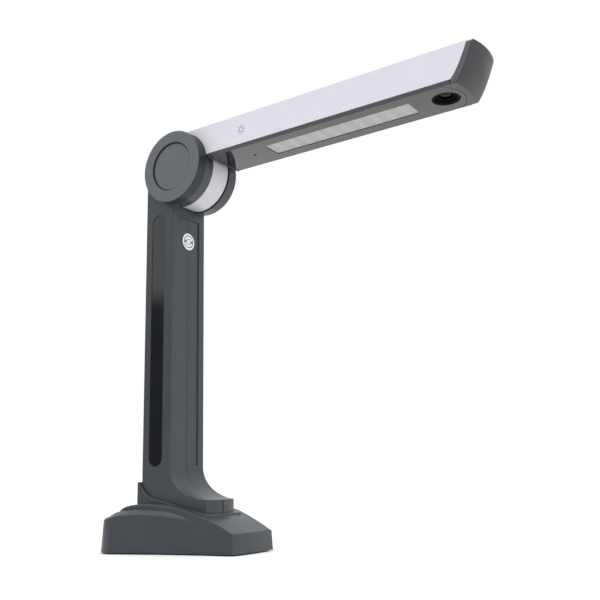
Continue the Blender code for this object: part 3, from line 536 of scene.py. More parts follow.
def frosted_material():
    """The lamp's cover: frosted plastic with a painted glow, a lighter colour over each light source behind
    it.
    """
    made, nodes, links, shader = new_material("frosted_plastic")
    place = nodes.new("ShaderNodeTexCoord").outputs["Object"]
    split = nodes.new("ShaderNodeSeparateXYZ")
    links.new(place, split.inputs[0])
    # Painted glow: the colour turns lighter over each light source, every 12 mm along Y, its strength
    # varied by a cloud noise.
    pitch = nodes.new("ShaderNodeMath")
    pitch.operation = "PINGPONG"
    pitch.inputs[1].default_value = 0.006
    links.new(split.outputs["Y"], pitch.inputs[0])
    spot = remap(nodes, links, pitch.outputs[0], 0.0, 1.0, 0.0015, 0.0055)
    cloud = noise(nodes, links, place, 140.0, 3.0)
    blend = nodes.new("ShaderNodeMath")
    blend.operation = "MULTIPLY"
    links.new(spot, blend.inputs[0])
    links.new(remap(nodes, links, cloud, 0.5, 1.0), blend.inputs[1])
    base = mix_colour(nodes, links, blend.outputs[0], (0.30, 0.30, 0.295), (0.37, 0.365, 0.355))
    links.new(base, shader.inputs["Base Color"])
    grain = noise(nodes, links, place, 1500.0, 2.0)
    links.new(remap(nodes, links, grain, 0.34, 0.50), shader.inputs["Roughness"])
    bump = nodes.new("ShaderNodeBump")
    bump.inputs["Strength"].default_value = 0.4
    bump.inputs["Distance"].default_value = 0.00008
    links.new(grain, bump.inputs["Height"])
    links.new(bump.outputs["Normal"], shader.inputs["Normal"])
    shader.inputs["Subsurface Weight"].default_value = 0.3
    shader.inputs["Subsurface Radius"].default_value = (0.004, 0.004, 0.004)
    return made


def lens_material():
    """Coated glass over a dark barrel. The coating's reflection is painted: the colour turns from
    blue-black to purplish black where the glass is seen at a slant.
    """
    made, nodes, links, shader = new_material("lens_glass")
    place = nodes.new("ShaderNodeTexCoord").outputs["Object"]
    # Painted reflection: the colour shifts with the view angle, for the coating's coloured sheen.
    weight = nodes.new("ShaderNodeLayerWeight")
    weight.inputs["Blend"].default_value = 0.35
    painted_coating_sheen = mix_colour(nodes, links, weight.outputs["Facing"], (0.003, 0.003, 0.008), (0.012, 0.007, 0.009))
    links.new(painted_coating_sheen, shader.inputs["Base Color"])
    smear = noise(nodes, links, place, 300.0, 3.0)
    links.new(remap(nodes, links, smear, 0.02, 0.08), shader.inputs["Roughness"])
    shader.inputs["IOR"].default_value = 1.16
    return made


frosted = frosted_material()
glass = lens_material()


# Base

def flare_half(y):
    share = min(max((y - NOSE_Y) / (FLARE_END_Y - NOSE_Y), 0.0), 1.0)
    return NOSE_HALF + (FLARE_HALF - NOSE_HALF) * share ** 1.5


def ledge_share(y):
    return min(max((y - LEDGE_START_Y) / (FLARE_END_Y - LEDGE_START_Y), 0.0), 1.0)


def ledge_inset(y):
    return LEDGE_WIDTH * ledge_share(y) ** 0.9


def hump_height(y):
    if y < HUMP_Y:
        return HUMP_TOP - (HUMP_TOP - NOSE_TOP) * ((HUMP_Y - y) / (HUMP_Y - NOSE_Y)) ** 2
    return HUMP_TOP - HUMP_FALL * ((y - HUMP_Y) / HUMP_FALL_REACH) ** 2.6


def lobe_height(y):
    if y < LOBE_Y:
        return LOBE_TOP - LOBE_FRONT_FALL * ((LOBE_Y - y) / LOBE_FRONT_REACH) ** 1.5
    along = min(y, FLARE_END_Y) + LOBE_END_SLOWING * max(y - FLARE_END_Y, 0.0)
    return LOBE_TOP - LOBE_REAR_FALL * ((along - LOBE_Y) / LOBE_REAR_REACH) ** 2.35


def collar_height(y):
    rise = COLLAR_SWEEP_RISE * (max(y - COLLAR_SWEEP_Y, 0.0) / COLLAR_SWEEP_REACH) ** 2
    return min(COLLAR_LOW + COLLAR_SLOPE * (y - COLLAR_SLOPE_START) + rise, COLLAR_TOP)


def hump_row(y, half):
    """The hump's top across, from its middle out: a slight crown that fades towards the nose."""
    crown = HUMP_CROWN * min((y - NOSE_Y) / 30.0, 1.0)
    shares = (0.0, 0.25, 0.5, 0.75, 0.9, 1.0)
    return [(half * share, hump_height(y) + crown * (1 - share ** 2)) for share in shares]


def lobe_row(y, half):
    """A lobe's top across, from its middle out: the ledge slopes down to the outer edge."""
    share = ledge_share(y)
    rise = LEDGE_RISE * (1 - (1 - min(share / LEDGE_RISE_SHARE, 1.0)) ** 2)
    rise *= 1 - (1 - min(max((REAR_EDGE_Y - y) / LEDGE_FADE_REACH, 0.0), 1.0)) ** 2.0
    inner = max(half - ledge_inset(y) - 0.5, 0.0)
    row = [(0.0, lobe_height(y) + rise)]
    for k in range(5):
        t = k / 4
        row.append((inner + (half - inner) * t, lobe_height(y) + rise * (1 - t ** 1.8)))
    return row


def plan(hump, front, inset=0.0, steps=40, corner_steps=14):
    """Rows along the base as (y, half width), round its rear corner. The hump's is narrower to the rear."""
    rear = REAR_EDGE_Y - inset - (HUMP_SETBACK if hump else 0.0)
    last = FLARE_END_Y - (4.0 if hump else 0.0)
    nose_steps = 10 if front < LEDGE_START_Y - 10.0 else 1
    marks = [front + (LEDGE_START_Y - front) * i / nose_steps for i in range(nose_steps)]
    marks += [LEDGE_START_Y + (last - LEDGE_START_Y) * (i / steps) ** 1.4 for i in range(steps + 1)]
    rows = [(y, flare_half(y) - inset - (ledge_inset(y) if hump else 0.0)) for y in marks]
    y, half = rows[-1]
    for i in range(1, corner_steps + 1):
        angle = math.pi / 2 * i / corner_steps
        rows.append((y + (rear - y) * math.sin(angle), half - CORNER_REACH * (1 - math.cos(angle))))
    return rows


def nose_bow(y, across, front):
    """How far the nose bows forward at a place across it. The bow fades out behind the nose."""
    if front > LEDGE_START_Y - 10.0:
        return 0.0
    return NOSE_BOW * (1 - across ** 2) * min(max(1 - (y - front) / BOW_REACH, 0.0), 1.0)


def slab(name, shape, top_row, floor, rim=None, drop=0.0):
    """A block over the base's plan, with a flat floor, drafted sides, a shaped top and a rounded rim.

    The shape is what plan() takes. The rim gives the rounding for each row.
    """
    hump, front, inset, *counts = shape
    rows = plan(hump, front, inset, *counts)
    inner_rows = plan(hump, front, inset + 1.0, *counts)
    angles = [math.pi / 2 * k / 5 for k in range(6)] if rim else [math.pi / 2]
    builder = bmesh.new()
    levels = []
    for angle in [None] + angles:
        level = []
        for i, ((y, half), (inner_y, inner_half)) in enumerate(zip(rows, inner_rows)):
            radius = rim(y) if rim else 0.0
            step = 0.0
            if angle is not None:
                step = DRAFT * (top_row(y, half)[-1][1] - floor) / LOBE_TOP + radius * (1 - math.cos(angle))
            row_y = y + (inner_y - y) * step + (step if i == 0 else 0.0)
            row_half = half + (inner_half - half) * step
            right = top_row(row_y, row_half)
            across = [(-x, z) for x, z in reversed(right[1:])] + right
            row = []
            for x, z in across:
                bow = nose_bow(y, x / row_half, front)
                height = floor if angle is None else z - drop - radius * (1 - math.sin(angle))
                row.append(builder.verts.new(Vector((x, row_y - bow, height)) * MM))
            level.append(row)
        levels.append(level)
    columns = len(levels[0][0]) - 1
    for level in (levels[0], levels[-1]):
        for a, b in zip(level, level[1:]):
            for i in range(columns):
                builder.faces.new((a[i], a[i + 1], b[i + 1], b[i]))
    for low, high in zip(levels, levels[1:]):
        for i in range(len(rows) - 1):
            for edge in (0, columns):
                builder.faces.new((low[i][edge], low[i + 1][edge], high[i + 1][edge], high[i][edge]))
        for end in (0, -1):
            for i in range(columns):
                builder.faces.new((low[end][i], low[end][i + 1], high[end][i + 1], high[end][i]))
    bmesh.ops.delete(builder, geom=[v for v in builder.verts if not v.link_faces], context="VERTS")
    return from_bmesh(name, builder)


def hump_rim(y):
    """The rounding of the hump's edge, small along the nose."""
    return 0.6 + 1.0 * min(max((y - LEDGE_START_Y) / 25.0, 0.0), 1.0)


def lobe_rim(y):
    """The rounding of a lobe's edge, which grows round the rear corner."""
    return 0.7 + 2.3 * min(max((y - 34.0) / 14.0, 0.0), 1.0)


def collar_right(inset):
    """The right side of the collar from above, from its rounded front corner to its rear one."""
    half = COLLAR_HALF - inset
    front = COLLAR_FRONT + inset
    rear = COLLAR_REAR - inset
    radius = COLLAR_CORNER - inset
    path = arc((half - radius, front + radius), radius, 270, 360, 12)
    return path + [(half, front + radius + (rear - front - radius) * i / 44) for i in range(1, 45)]


def collar_outline(inset):
    right = collar_right(inset)
    return right + [(-x, y) for x, y in reversed(right)]


def toe_front(grow):
    """The toe's bowed front from above, left to right, and where its sides start to taper."""
    bow = []
    steps = 12
    for i in range(steps + 1):
        share = i / steps
        bow.append((TOE_CORNER_HALF * share, TOE_Y + (TOE_CORNER_Y - TOE_Y) * share ** 2 - grow))
    x, y = bow.pop()
    bow += [(x + grow * 0.7 - 0.2, y), (x + grow, y + grow * 0.3 + 0.3),
            (BODY_HALF + 0.01 + grow, TOE_TAPER_Y)]
    return [(-x, y) for x, y in reversed(bow[1:])] + bow


def collar_tube():
    """The wall around the column's foot, with a rounded rim that follows its sloping top."""
    angles = [math.radians(a) for a in (0, 18, 36, 54, 72, 90)]
    rows = [(0.0, None)] + [(RIM * (1 - math.cos(a)), RIM * (math.sin(a) - 1)) for a in angles]
    builder = bmesh.new()
    layers = []
    for inset, rise in rows:
        right = [(x, y, 12.0 if rise is None else collar_height(y) + rise) for x, y in collar_right(inset)]
        layers.append([[builder.verts.new(Vector((side * x, y, z)) * MM) for x, y, z in right]
                       for side in (1, -1)])
    for low, high in zip(layers, layers[1:]):
        for a, b in zip(low, high):
            for i in range(len(a) - 1):
                builder.faces.new((a[i], a[i + 1], b[i + 1], b[i]))
        for end in (0, -1):
            builder.faces.new((low[0][end], low[1][end], high[1][end], high[0][end]))
    for right, left in (layers[0], layers[-1]):
        for i in range(len(right) - 1):
            builder.faces.new((right[i], right[i + 1], left[i + 1], left[i]))
    tube = from_bmesh("collar", builder)
    half = BODY_HALF + SOCKET_GAP
    back = REAR_Y + SOCKET_GAP
    cut(tube, prism("collar_hole", toe_front(SOCKET_GAP) + [(half, back), (-half, back)], "XY", 5.0, 70.0))
    return bake(tube)


def build_base():
    base = slab("hump", (True, NOSE_Y, 0.0), hump_row, SKIRT_BOTTOM, hump_rim)
    lobes = slab("lobes", (False, LEDGE_START_Y - 1.5, 0.03), lobe_row, SKIRT_BOTTOM + 0.02, lobe_rim)
    join(base, lobes)
    bake(base)
    hollow = slab("hump_hollow", (True, NOSE_Y + SHELL_WALL, SHELL_WALL, 14, 6), hump_row, -2.0,
                  drop=SHELL_WALL)
    join(hollow, slab("lobe_hollow", (False, LEDGE_START_Y - 3.0, SHELL_WALL + 0.1, 14, 6), lobe_row, -2.1,
                      drop=SHELL_WALL))
    cut(hollow, prism("socket_walls", collar_outline(0.2), "XY", 13.5, 60.0))
    bake(hollow)
    cut(base, hollow)
    half = BODY_HALF + SOCKET_GAP + 0.06
    back = REAR_Y + SOCKET_GAP + 0.06
    cut(base, prism("socket", toe_front(SOCKET_GAP + 0.06) + [(half, back), (-half, back)], "XY",
                    SOCKET_FLOOR, 70.0))
    join(base, collar_tube())
    corners = [(-PORT_HALF, PORT_LOW), (PORT_HALF, PORT_LOW),
               (PORT_HALF, PORT_HIGH), (-PORT_HALF, PORT_HIGH)]
    port = rounded(corners, [1.0] * 4)
    cut(base, prism("port", port, "XZ", 50.0, 62.0))
    piece(base, "base_body", slate, STAND, ["base_shell"])


# Column

def fillet(grow, steps=40):
    reach = FRONT_Y - TOE_Y + grow
    drop = FILLET_TOP - TOE_TOP + grow * 0.8
    points = []
    for i in range(steps + 1):
        angle = math.pi / 2 * i / steps
        points.append((TOE_Y + reach * math.cos(angle), FILLET_TOP - drop * math.sin(angle)))
    return points


def column_outline():
    front_angle = 360.0 - math.degrees(math.acos(FRONT_Y / EAR_RADIUS))
    ear = arc((0.0, AXIS), EAR_RADIUS, 2.0, front_angle, 110)
    shoulder = [(REAR_Y, AXIS - 12.0), (REAR_Y - 0.25, AXIS - 9.6), (REAR_Y - 0.9, AXIS - 7.2),
                (REAR_Y - 2.0, AXIS - 5.0), (REAR_Y - 3.5, AXIS - 3.1)]
    return [(TOE_Y, FOOT_BOTTOM), (REAR_Y, FOOT_BOTTOM)] + shoulder + ear + fillet(0.0)


def toe_trim(name):
    outside = BODY_HALF + 4.0
    outline = toe_front(0.0) + [(outside, TOE_TAPER_Y), (outside, TOE_Y - 5.0), (-outside, TOE_Y - 5.0),
                                (-outside, TOE_TAPER_Y)]
    return prism(name, outline, "XY", FOOT_BOTTOM - 3.0, TOE_TOP + 8.0)


def column_hollow(side, name):
    front = FRONT_Y + SHELL_WALL + CHANNEL_DEPTH
    toe = TOE_CORNER_Y + SHELL_WALL
    inner = [p for p in fillet(front - FRONT_Y, 16) if p[1] > FOOT_BOTTOM + 3.0 and p[0] > toe]
    outline = [(toe, FOOT_BOTTOM + 3.0), (REAR_Y - SHELL_WALL, FOOT_BOTTOM + 3.0),
               (REAR_Y - SHELL_WALL, AXIS - 24.0), (28.0, AXIS - 3.0), (front, AXIS - 3.0)]
    outline += inner + [(toe, inner[-1][1])]
    hollow = prism(name, outline, "YZ", *sorted((side * (BODY_HALF - SHELL_WALL), -side * 1.0)))
    narrow = TOE_CORNER_HALF - SHELL_WALL
    wide = BODY_HALF - SHELL_WALL + 0.5
    room = [(narrow, TOE_CORNER_Y), (wide, TOE_TAPER_Y), (wide, REAR_Y + 5.0)]
    boolean(hollow, "INTERSECT", prism(name + "_room", [(-x, y) for x, y in reversed(room)] + room, "XY",
                                       0.0, AXIS + 40.0))
    seat = sorted((side * (EAR_INNER + 1.8), -side * 3.0))
    return bake(cut(hollow, cylinder(name + "_seat", "X", (0.0, AXIS), DRUM_CLEARANCE + 1.8, *seat)))


def build_column(side, name, node):
    shell = prism(name, column_outline(), "YZ", *sorted((side * BODY_HALF, -side * 4.0)))
    bevel(shell, 0.9, 3)
    bake(shell)
    cut(shell, box(name + "_half", *sorted_corners(side * SEAM_HALF, -side * 6.0)))
    low, high = sorted((side * SEAM_GROOVE_HALF, -side * 1.0))
    cut(shell, box(name + "_seam", (low, TOE_Y - 2.0, FOOT_BOTTOM - 1.0),
                   (high, TOE_Y + 1.4, TOE_TOP + 2.0)))
    cut(shell, toe_trim(name + "_toe"))
    cut(shell, column_hollow(side, name + "_hollow"))
    pocket = sorted((side * (BODY_HALF - SHELL_WALL - 0.2), side * (EAR_INNER + 2.0)))
    cut(shell, cylinder(name + "_ear_pocket", "X", (0.0, AXIS), EAR_RADIUS - 2.4, *pocket))
    slot = sorted((side * EAR_INNER, -side * 2.0))
    cut(shell, cylinder(name + "_drum_seat", "X", (0.0, AXIS), DRUM_CLEARANCE, *slot, 120))
    bore = sorted((side * 9.0, side * (BODY_HALF + 1.0)))
    cut(shell, cylinder(name + "_bore", "X", (0.0, AXIS), HINGE_ACCESS, *bore))
    recess = sorted((side * (BODY_HALF - 1.2), side * (BODY_HALF + 2.0)))
    seat_outline = stadium(INLAY_Y, INLAY_HALF, INLAY_LOW, INLAY_HIGH)
    cut(shell, prism(name + "_inlay_seat", seat_outline, "YZ", *recess))
    cut(shell, box(name + "_channel", (-CHANNEL_HALF, FRONT_Y - 5.0, CHANNEL_LOW),
                   (CHANNEL_HALF, FRONT_Y + CHANNEL_DEPTH, CHANNEL_HIGH)))
    if side < 0:  # a lip behind the rear seam, so that no light shows through it
        inside = REAR_Y - SHELL_WALL
        low, high = FOOT_BOTTOM + 8.0, AXIS - 25.0
        join(shell, box(name + "_lip", (-3.0, inside - 0.9, low), (1.5, inside - 0.15, high)),
             box(name + "_lip_root", (-3.0, inside - 0.9, low + 0.1), (-0.6, inside + 0.5, high - 0.1)))
    piece(shell, name, slate, STAND, [node])


def sorted_corners(a, b):
    """The corners of a box that spans the whole column in Y and Z, between two places in X."""
    low, high = sorted((a, b))
    return (low, -60.0, 0.0), (high, 60.0, 400.0)


def printed_ring(inner, outer):
    """The section of a printed ring, or of a dot when it starts on the axis."""
    return [(inner, PRINT_OUT), (outer, PRINT_OUT), (outer, PRINT_IN), (inner, PRINT_IN)]


def build_trim():
    for side, name, node in ((-1, "inlay_left", "side_inlay_left"), (1, "inlay_right", "side_inlay_right")):
        outline = stadium(INLAY_Y, INLAY_HALF - 0.3, INLAY_LOW + 0.3, INLAY_HIGH - 0.3)
        strip = prism(name, outline, "YZ", *sorted((side * (BODY_HALF - 0.25), side * (BODY_HALF - 0.9))))
        bevel(strip, 0.2, 2)
        piece(strip, name, gloss, STAND, [node])
    face = FRONT_Y + CHANNEL_DEPTH - 0.55
    label = turned("label", [(0.0, 0.0), (LABEL_RADIUS - LABEL_EDGE, 0.0), (LABEL_RADIUS, -0.12),
                             (LABEL_RADIUS, -0.30), (0.0, -0.30)], "-Y", (0.0, face, LABEL_HEIGHT))
    piece(label, "label_disc", label_white, STAND, ["round_label"])
    for number, (inner, outer, material) in enumerate(((4.7, 5.4, print_dark), (2.0, 2.6, print_grey))):
        ring = turned(f"ring_{number}", printed_ring(inner, outer), "-Y", (0.0, face, LABEL_HEIGHT), 72)
        piece(ring, f"label_ring_{number + 1}", material, STAND)
    for number, x in enumerate((-3.65, 3.65)):
        dot = turned(f"dot_{number}", printed_ring(0.0, 1.0), "-Y", (x, face, LABEL_HEIGHT), 32)
        piece(dot, f"label_dot_{number + 1}", print_dark, STAND)


# Hinge

def build_hinge():
    inner = BODY_HALF + CAP_GAP
    depth = CAP_OUTER - inner
    rim = arc((CAP_RADIUS - CAP_EDGE, depth - CAP_EDGE), CAP_EDGE, 90, 0, 6)
    lip = arc((CAP_INSET + 1.4, depth - CAP_LIP), CAP_LIP, 180, 90, 6)
    face = [(0.0, depth - CAP_RECESS), (CAP_INSET + 0.3, depth - CAP_RECESS)] + lip + rim
    inside = CAP_RADIUS - CAP_WALL
    back = [(CAP_RADIUS, 0.3), (CAP_RADIUS - 0.3, 0.0), (inside, 0.0), (inside, depth - CAP_FACE),
            (0.0, depth - CAP_FACE)]
    cap = turned("cap", face + back, "-X", (-inner, 0.0, AXIS), 128)
    piece(cap, "hinge_disc", disc_grey, STAND, ["hinge_cap_near"])
    soft = arc((CAP_INSET - INSET_EDGE, 0.2), INSET_EDGE, 90, 0, 4)
    inset = turned("inset", [(0.0, 0.7)] + soft + [(CAP_INSET, 0.0), (0.0, 0.0)], "-X",
                   (-CAP_OUTER + CAP_RECESS - 0.3, 0.0, AXIS), 128)
    piece(inset, "hinge_disc_inset", disc_grey, STAND, ["cap_inset_disc"])
    edge = arc((FAR_CAP_RADIUS - FAR_CAP_EDGE, 0.7), FAR_CAP_EDGE, 90, 0, 5)
    far = turned("far", [(0.0, FAR_CAP_DEPTH)] + edge + [(FAR_CAP_RADIUS, 0.0), (0.0, 0.0)], "X",
                 (inner, 0.0, AXIS), 128)
    piece(far, "hinge_disc_far", slate, STAND, ["hinge_cap_far"])
    hollow_rim = DRUM_RADIUS - DRUM_WALL
    near = [(DRUM_BORE, DRUM_HUB_HALF), (DRUM_HUB, DRUM_HUB_HALF), (DRUM_HUB, DRUM_WEB_HALF),
            (hollow_rim, DRUM_WEB_HALF), (hollow_rim, DRUM_HALF)]
    near += arc((DRUM_RADIUS - DRUM_EDGE, DRUM_HALF - DRUM_EDGE), DRUM_EDGE, 90, 0, 4)
    drum = turned("drum", near + [(r, -d) for r, d in reversed(near)], "X", (0.0, 0.0, AXIS), 128)
    join(drum, box("tongue", (-TONGUE_HALF, -60.0, AXIS + 7.0), (TONGUE_HALF, -25.0, AXIS + 23.6)))
    piece(drum, "drum", drum_white, ARM, ["hinge_drum"])


# Arm

def cover_end(z):
    share = max((z - COVER_BOTTOM) / (ARM_TOP - COVER_BOTTOM), 0.0)
    return COVER_END_Y - COVER_END_LEAN * share ** 0.75


def nose_front(z):
    share = max((z - ARM_BOTTOM) / (ARM_TOP - ARM_BOTTOM), 0.0)
    return TIP_Y - TIP_LEAN * share ** 0.65


def raised(outline):
    """An arm outline in the side view, lifted by the height of the hinge axis."""
    return [(y, z + AXIS) for y, z in outline]


def build_cover():
    start = math.degrees(math.atan2(COVER_BOTTOM, -math.sqrt(ARM_REAR_RADIUS ** 2 - COVER_BOTTOM ** 2)))
    rear = arc((0.0, 0.0), ARM_REAR_RADIUS, start, 96.0, 48)
    outline = [(-275.0, 0.0), (-275.0, ARM_TOP), (rear[-1][0] + 0.1, ARM_TOP)] + list(reversed(rear))
    outline.append((rear[0][0] - 0.4, 0.0))
    cover = prism("cover", raised(outline), "YZ", -BODY_HALF, BODY_HALF)
    bevel(cover, ARM_EDGE, 6, 60.0)
    bake(cover)
    cut(cover, box("cover_foot", (-30.0, -290.0, AXIS - 20.0), (30.0, 30.0, AXIS + COVER_BOTTOM)))
    steps = 24
    heights = [COVER_BOTTOM - 8 + (ARM_TOP + 16 - COVER_BOTTOM) * i / steps for i in range(steps + 1)]
    tip = [(cover_end(min(z, ARM_TOP)), z) for z in heights]
    beyond = [(-300.0, heights[0])] + tip + [(-300.0, heights[-1])]
    cut(cover, prism("cover_tip", raised(beyond), "YZ", -30, 30))
    inner = BODY_HALF - COVER_WALL
    cut(cover, box("cover_inside", (-inner, -280.0, AXIS - 5.0),
                   (inner, 10.0, AXIS + ARM_TOP - COVER_WALL)))
    piece(cover, "arm_housing", white, ARM, ["arm_cover"])


def build_tray():
    tray = box("tray", (-BODY_HALF, TRAY_END, AXIS + ARM_BOTTOM), (BODY_HALF, LIP_REAR, AXIS + STRIP_TOP))
    bevel(tray, 0.45, 3)
    bake(tray)
    lip = box("tray_lip", (-BODY_HALF + 0.3, LIP_FRONT, AXIS + 2.5),
              (BODY_HALF - 0.3, LIP_REAR - 0.2, AXIS + 4.0))
    bevel(lip, 0.3, 2)
    bake(lip)
    join(tray, lip)
    for side in (-1, 1):
        low, high = sorted((side * RIB_INNER, side * RIB_OUTER))
        join(tray, box(f"rib_{side}", (low, -236.0, AXIS + 5.0), (high, -34.0, AXIS + 9.4)))
    room = PANEL_HALF + 0.2
    cut(tray, box("pocket", (-room, -260.0, AXIS + 1.0), (room, LIP_FRONT, AXIS + PANEL_TOP + 0.3)))
    cut(tray, box("window", (-10.4, WINDOW_FRONT - 1.4, AXIS + 1.0), (10.4, WINDOW_REAR + 1.4, AXIS + 8.0)))
    cut(tray, cylinder("lens_way", "Z", (0.0, LENS_Y), LENS_HOLE + 0.4, AXIS + 1.0, AXIS + 8.0))
    cut(tray, cylinder("mic_way", "Z", (0.0, MIC_Y), MIC_WAY, AXIS + 1.0, AXIS + 8.0, 24))
    piece(tray, "arm_floor", strip_grey, ARM, ["arm_tray"])


def panel_end(inset, steps=48):
    spread = math.degrees(math.asin(PANEL_HALF / PANEL_END_RADIUS))
    centre = (0.0, PANEL_END + PANEL_END_RADIUS)
    return arc(centre, PANEL_END_RADIUS + inset, 270.0 - spread, 270.0 + spread, steps)


def build_underside():
    outline = panel_end(0.0) + [(PANEL_HALF, LIP_FRONT - 0.3), (-PANEL_HALF, LIP_FRONT - 0.3)]
    panel = prism("panel", outline, "XY", AXIS + ARM_BOTTOM, AXIS + PANEL_TOP)
    window = rounded([(-WINDOW_HALF, WINDOW_FRONT), (WINDOW_HALF, WINDOW_FRONT), (WINDOW_HALF, WINDOW_REAR),
                      (-WINDOW_HALF, WINDOW_REAR)], [0.6] * 4)
    cut(panel, prism("panel_window", window, "XY", AXIS + 1.0, AXIS + 8.0))
    cut(panel, cylinder("panel_lens", "Z", (0.0, LENS_Y), LENS_HOLE, AXIS + 1.0, AXIS + 8.0, 96))
    cut(panel, cylinder("panel_mic", "Z", (0.0, MIC_Y), MIC_HOLE, AXIS + 1.0, AXIS + 8.0, 24))
    piece(panel, "arm_underside", gloss, ARM, ["underside_panel"], soften=0.15)
    half = WINDOW_HALF - WINDOW_GAP
    flange = LAMP_FLANGE_HALF
    section = [(-half, 3.4), (half, 3.4), (half, 6.2), (flange, 6.2), (flange, 7.2), (-flange, 7.2),
               (-flange, 6.2), (-half, 6.2)]
    lamp = prism("lamp", [(x, z + AXIS) for x, z in section], "XZ", WINDOW_FRONT + WINDOW_GAP,
                 WINDOW_REAR - WINDOW_GAP)
    bevel(lamp, 0.15, 2)
    piece(lamp, "lamp_window", frosted, ARM, ["led_diffuser"])


def build_tip():
    """The dark nose: bowed in plan, leaning forward towards its top, with the arm's rounded long edges."""
    stations = []
    steps = 8
    for i in range(steps + 1):
        angle = math.pi / 2 * i / steps
        stations.append((BODY_HALF - ARM_EDGE + ARM_EDGE * math.sin(angle),
                         ARM_EDGE * (1 - math.cos(angle))))
    inner = [(-BODY_HALF + ARM_EDGE + 2 * (BODY_HALF - ARM_EDGE) * i / 20, 0.0) for i in range(1, 20)]
    stations = [(-x, e) for x, e in reversed(stations)] + inner + stations

    def section(x, edge, inset):
        bulge = TIP_BOW * (1 - (x / BODY_HALF) ** 2)
        low = ARM_BOTTOM + inset + min(edge * 0.25, 0.5)
        high = ARM_TOP - inset - edge
        rows = 20
        heights = [low + (high - low) * k / rows for k in range(rows + 1)]
        front = [(nose_front(min(z + edge, ARM_TOP)) - bulge + edge + inset * 1.1, z) for z in heights]
        back = [(cover_end(z) - 0.3 + inset * 6, z) for z in reversed(heights)]
        radii = [0.7] + [0.0] * (rows - 1) + [1.6] + [0.0] * (rows + 1)
        flat = rounded(front + back, radii, 5)
        return [(x, y, z + AXIS) for y, z in flat]

    def nose(name, rows, inset):
        builder = bmesh.new()
        rings = [[builder.verts.new(Vector(p) * MM) for p in section(x, e, inset)] for x, e in rows]
        count = len(rings[0])
        for a, b in zip(rings, rings[1:]):
            for i in range(count):
                j = (i + 1) % count
                builder.faces.new((a[i], a[j], b[j], b[i]))
        builder.faces.new(rings[0])
        builder.faces.new(rings[-1])
        return from_bmesh(name, builder)

    tip = nose("nose", stations, 0.0)
    plug_half = BODY_HALF - COVER_WALL - PLUG_GAP
    plug = [(-247.0, 11.0), (-238.0, 11.0), (-238.0, 28.3), (-252.0, 28.3)]
    join(tip, prism("plug", raised(plug), "YZ", -plug_half, plug_half))
    join(tip, box("tongue", (-PANEL_HALF, -246.0, AXIS + ARM_BOTTOM + 0.01),
                  (PANEL_HALF, -235.4, AXIS + PANEL_TOP)))
    half = PANEL_HALF + 0.3
    room = panel_end(0.3) + [(half, -225.0), (-half, -225.0)]
    cut(tip, prism("panel_room", room, "XY", AXIS + 1.0, AXIS + PANEL_TOP + 0.3))
    inside = [(TIP_ROOM_HALF * (i / 5 - 1), 0.0) for i in range(11)]
    cut(tip, nose("nose_hollow", inside, TIP_WALL))
    room_half = plug_half - PLUG_WALL
    cut(tip, box("plug_hollow", (-room_half, -246.0, AXIS + 9.0), (room_half, -230.0, AXIS + 26.7)))
    piece(tip, "tip_cap", tip_grey, ARM, ["end_cap"])


def build_lens():
    place = (0.0, LENS_Y, AXIS)
    steps = [(9.6, 8.4), (9.6, 3.4), (9.4, 3.2), (9.0, 3.2), (8.8, 3.5), (8.5, 4.3), (8.0, 4.4), (7.9, 5.3),
             (7.4, 5.4), (7.3, 6.2), (6.8, 6.3), (6.7, 8.4)]
    bezel = turned("bezel", steps, "Z", place, 96)
    piece(bezel, "lens_ring", lens_black, ARM, ["lens_bezel"])
    barrel = turned("barrel", [(0.0, 19.4), (6.3, 19.4), (6.3, 5.2), (6.1, 4.9), (5.6, 4.8), (5.3, 5.2),
                               (5.3, 8.6), (0.0, 8.6)], "Z", place, 72)
    piece(barrel, "lens_tube", lens_black, ARM, ["lens_barrel"])
    angles = [math.radians(a) for a in range(0, 86, 5)]
    dome = [(GLASS_RADIUS * math.cos(a), 7.2 - GLASS_BULGE * math.sin(a)) for a in angles]
    front = turned("front_glass", [(0.0, 8.3), (GLASS_RADIUS, 8.3)] + dome + [(0.0, 5.5)], "Z", place, 72)
    piece(front, "lens_front", glass, ARM, ["lens_glass"])


def build_icon():
    """A small generic lamp sign, printed on the near side of the cover: a ring with rays."""
    middle = (-BODY_HALF, LAMP_SIGN_Y, AXIS + LAMP_SIGN_HEIGHT)
    ring = turned("icon_ring", printed_ring(1.5, 2.1), "-X", middle, 48)
    piece(ring, "lamp_sign_ring", print_grey, ARM)
    rays = bmesh.new()
    for i in range(8):
        angle = math.pi / 4 * i
        along = Vector((0.0, math.cos(angle), math.sin(angle)))
        across = Vector((0.0, -math.sin(angle), math.cos(angle)))
        centre = Vector(middle)
        corners = []
        for depth in (-PRINT_OUT, -PRINT_IN):
            for reach, half in ((2.8, 0.28), (4.1, 0.28)):
                for sign in (-1, 1):
                    point = centre + along * reach + across * half * sign + Vector((depth, 0.0, 0.0))
                    corners.append(rays.verts.new(point * MM))
        a, b, c, d, e, f, g, h = corners
        for quad in ((a, b, d, c), (e, g, h, f), (a, c, g, e), (b, f, h, d), (a, e, f, b), (c, d, h, g)):
            rays.faces.new(quad)
    piece(from_bmesh("rays", rays), "lamp_sign_rays", print_grey, ARM)


# CAD nodes that stay, with better materials

def finish_nodes():
    finishes = {
        "bottom_plate": black, "anti_slip_pad": rubber, "usb_socket": nickel, "camera_board": board_green,
        "usb_board": board_green, "touch_sensor": board_green, "led_board": board_white,
        "arm_rail": aluminium,
        "camera_ribbon": nylon, "friction_washer_left": nylon, "friction_washer_right": nylon,
    }
    for name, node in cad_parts.items():
        if node.hide_render:
            continue
        material = finishes.get(name, steel)
        node.data.materials.clear()
        node.data.materials.append(material)


# Stage

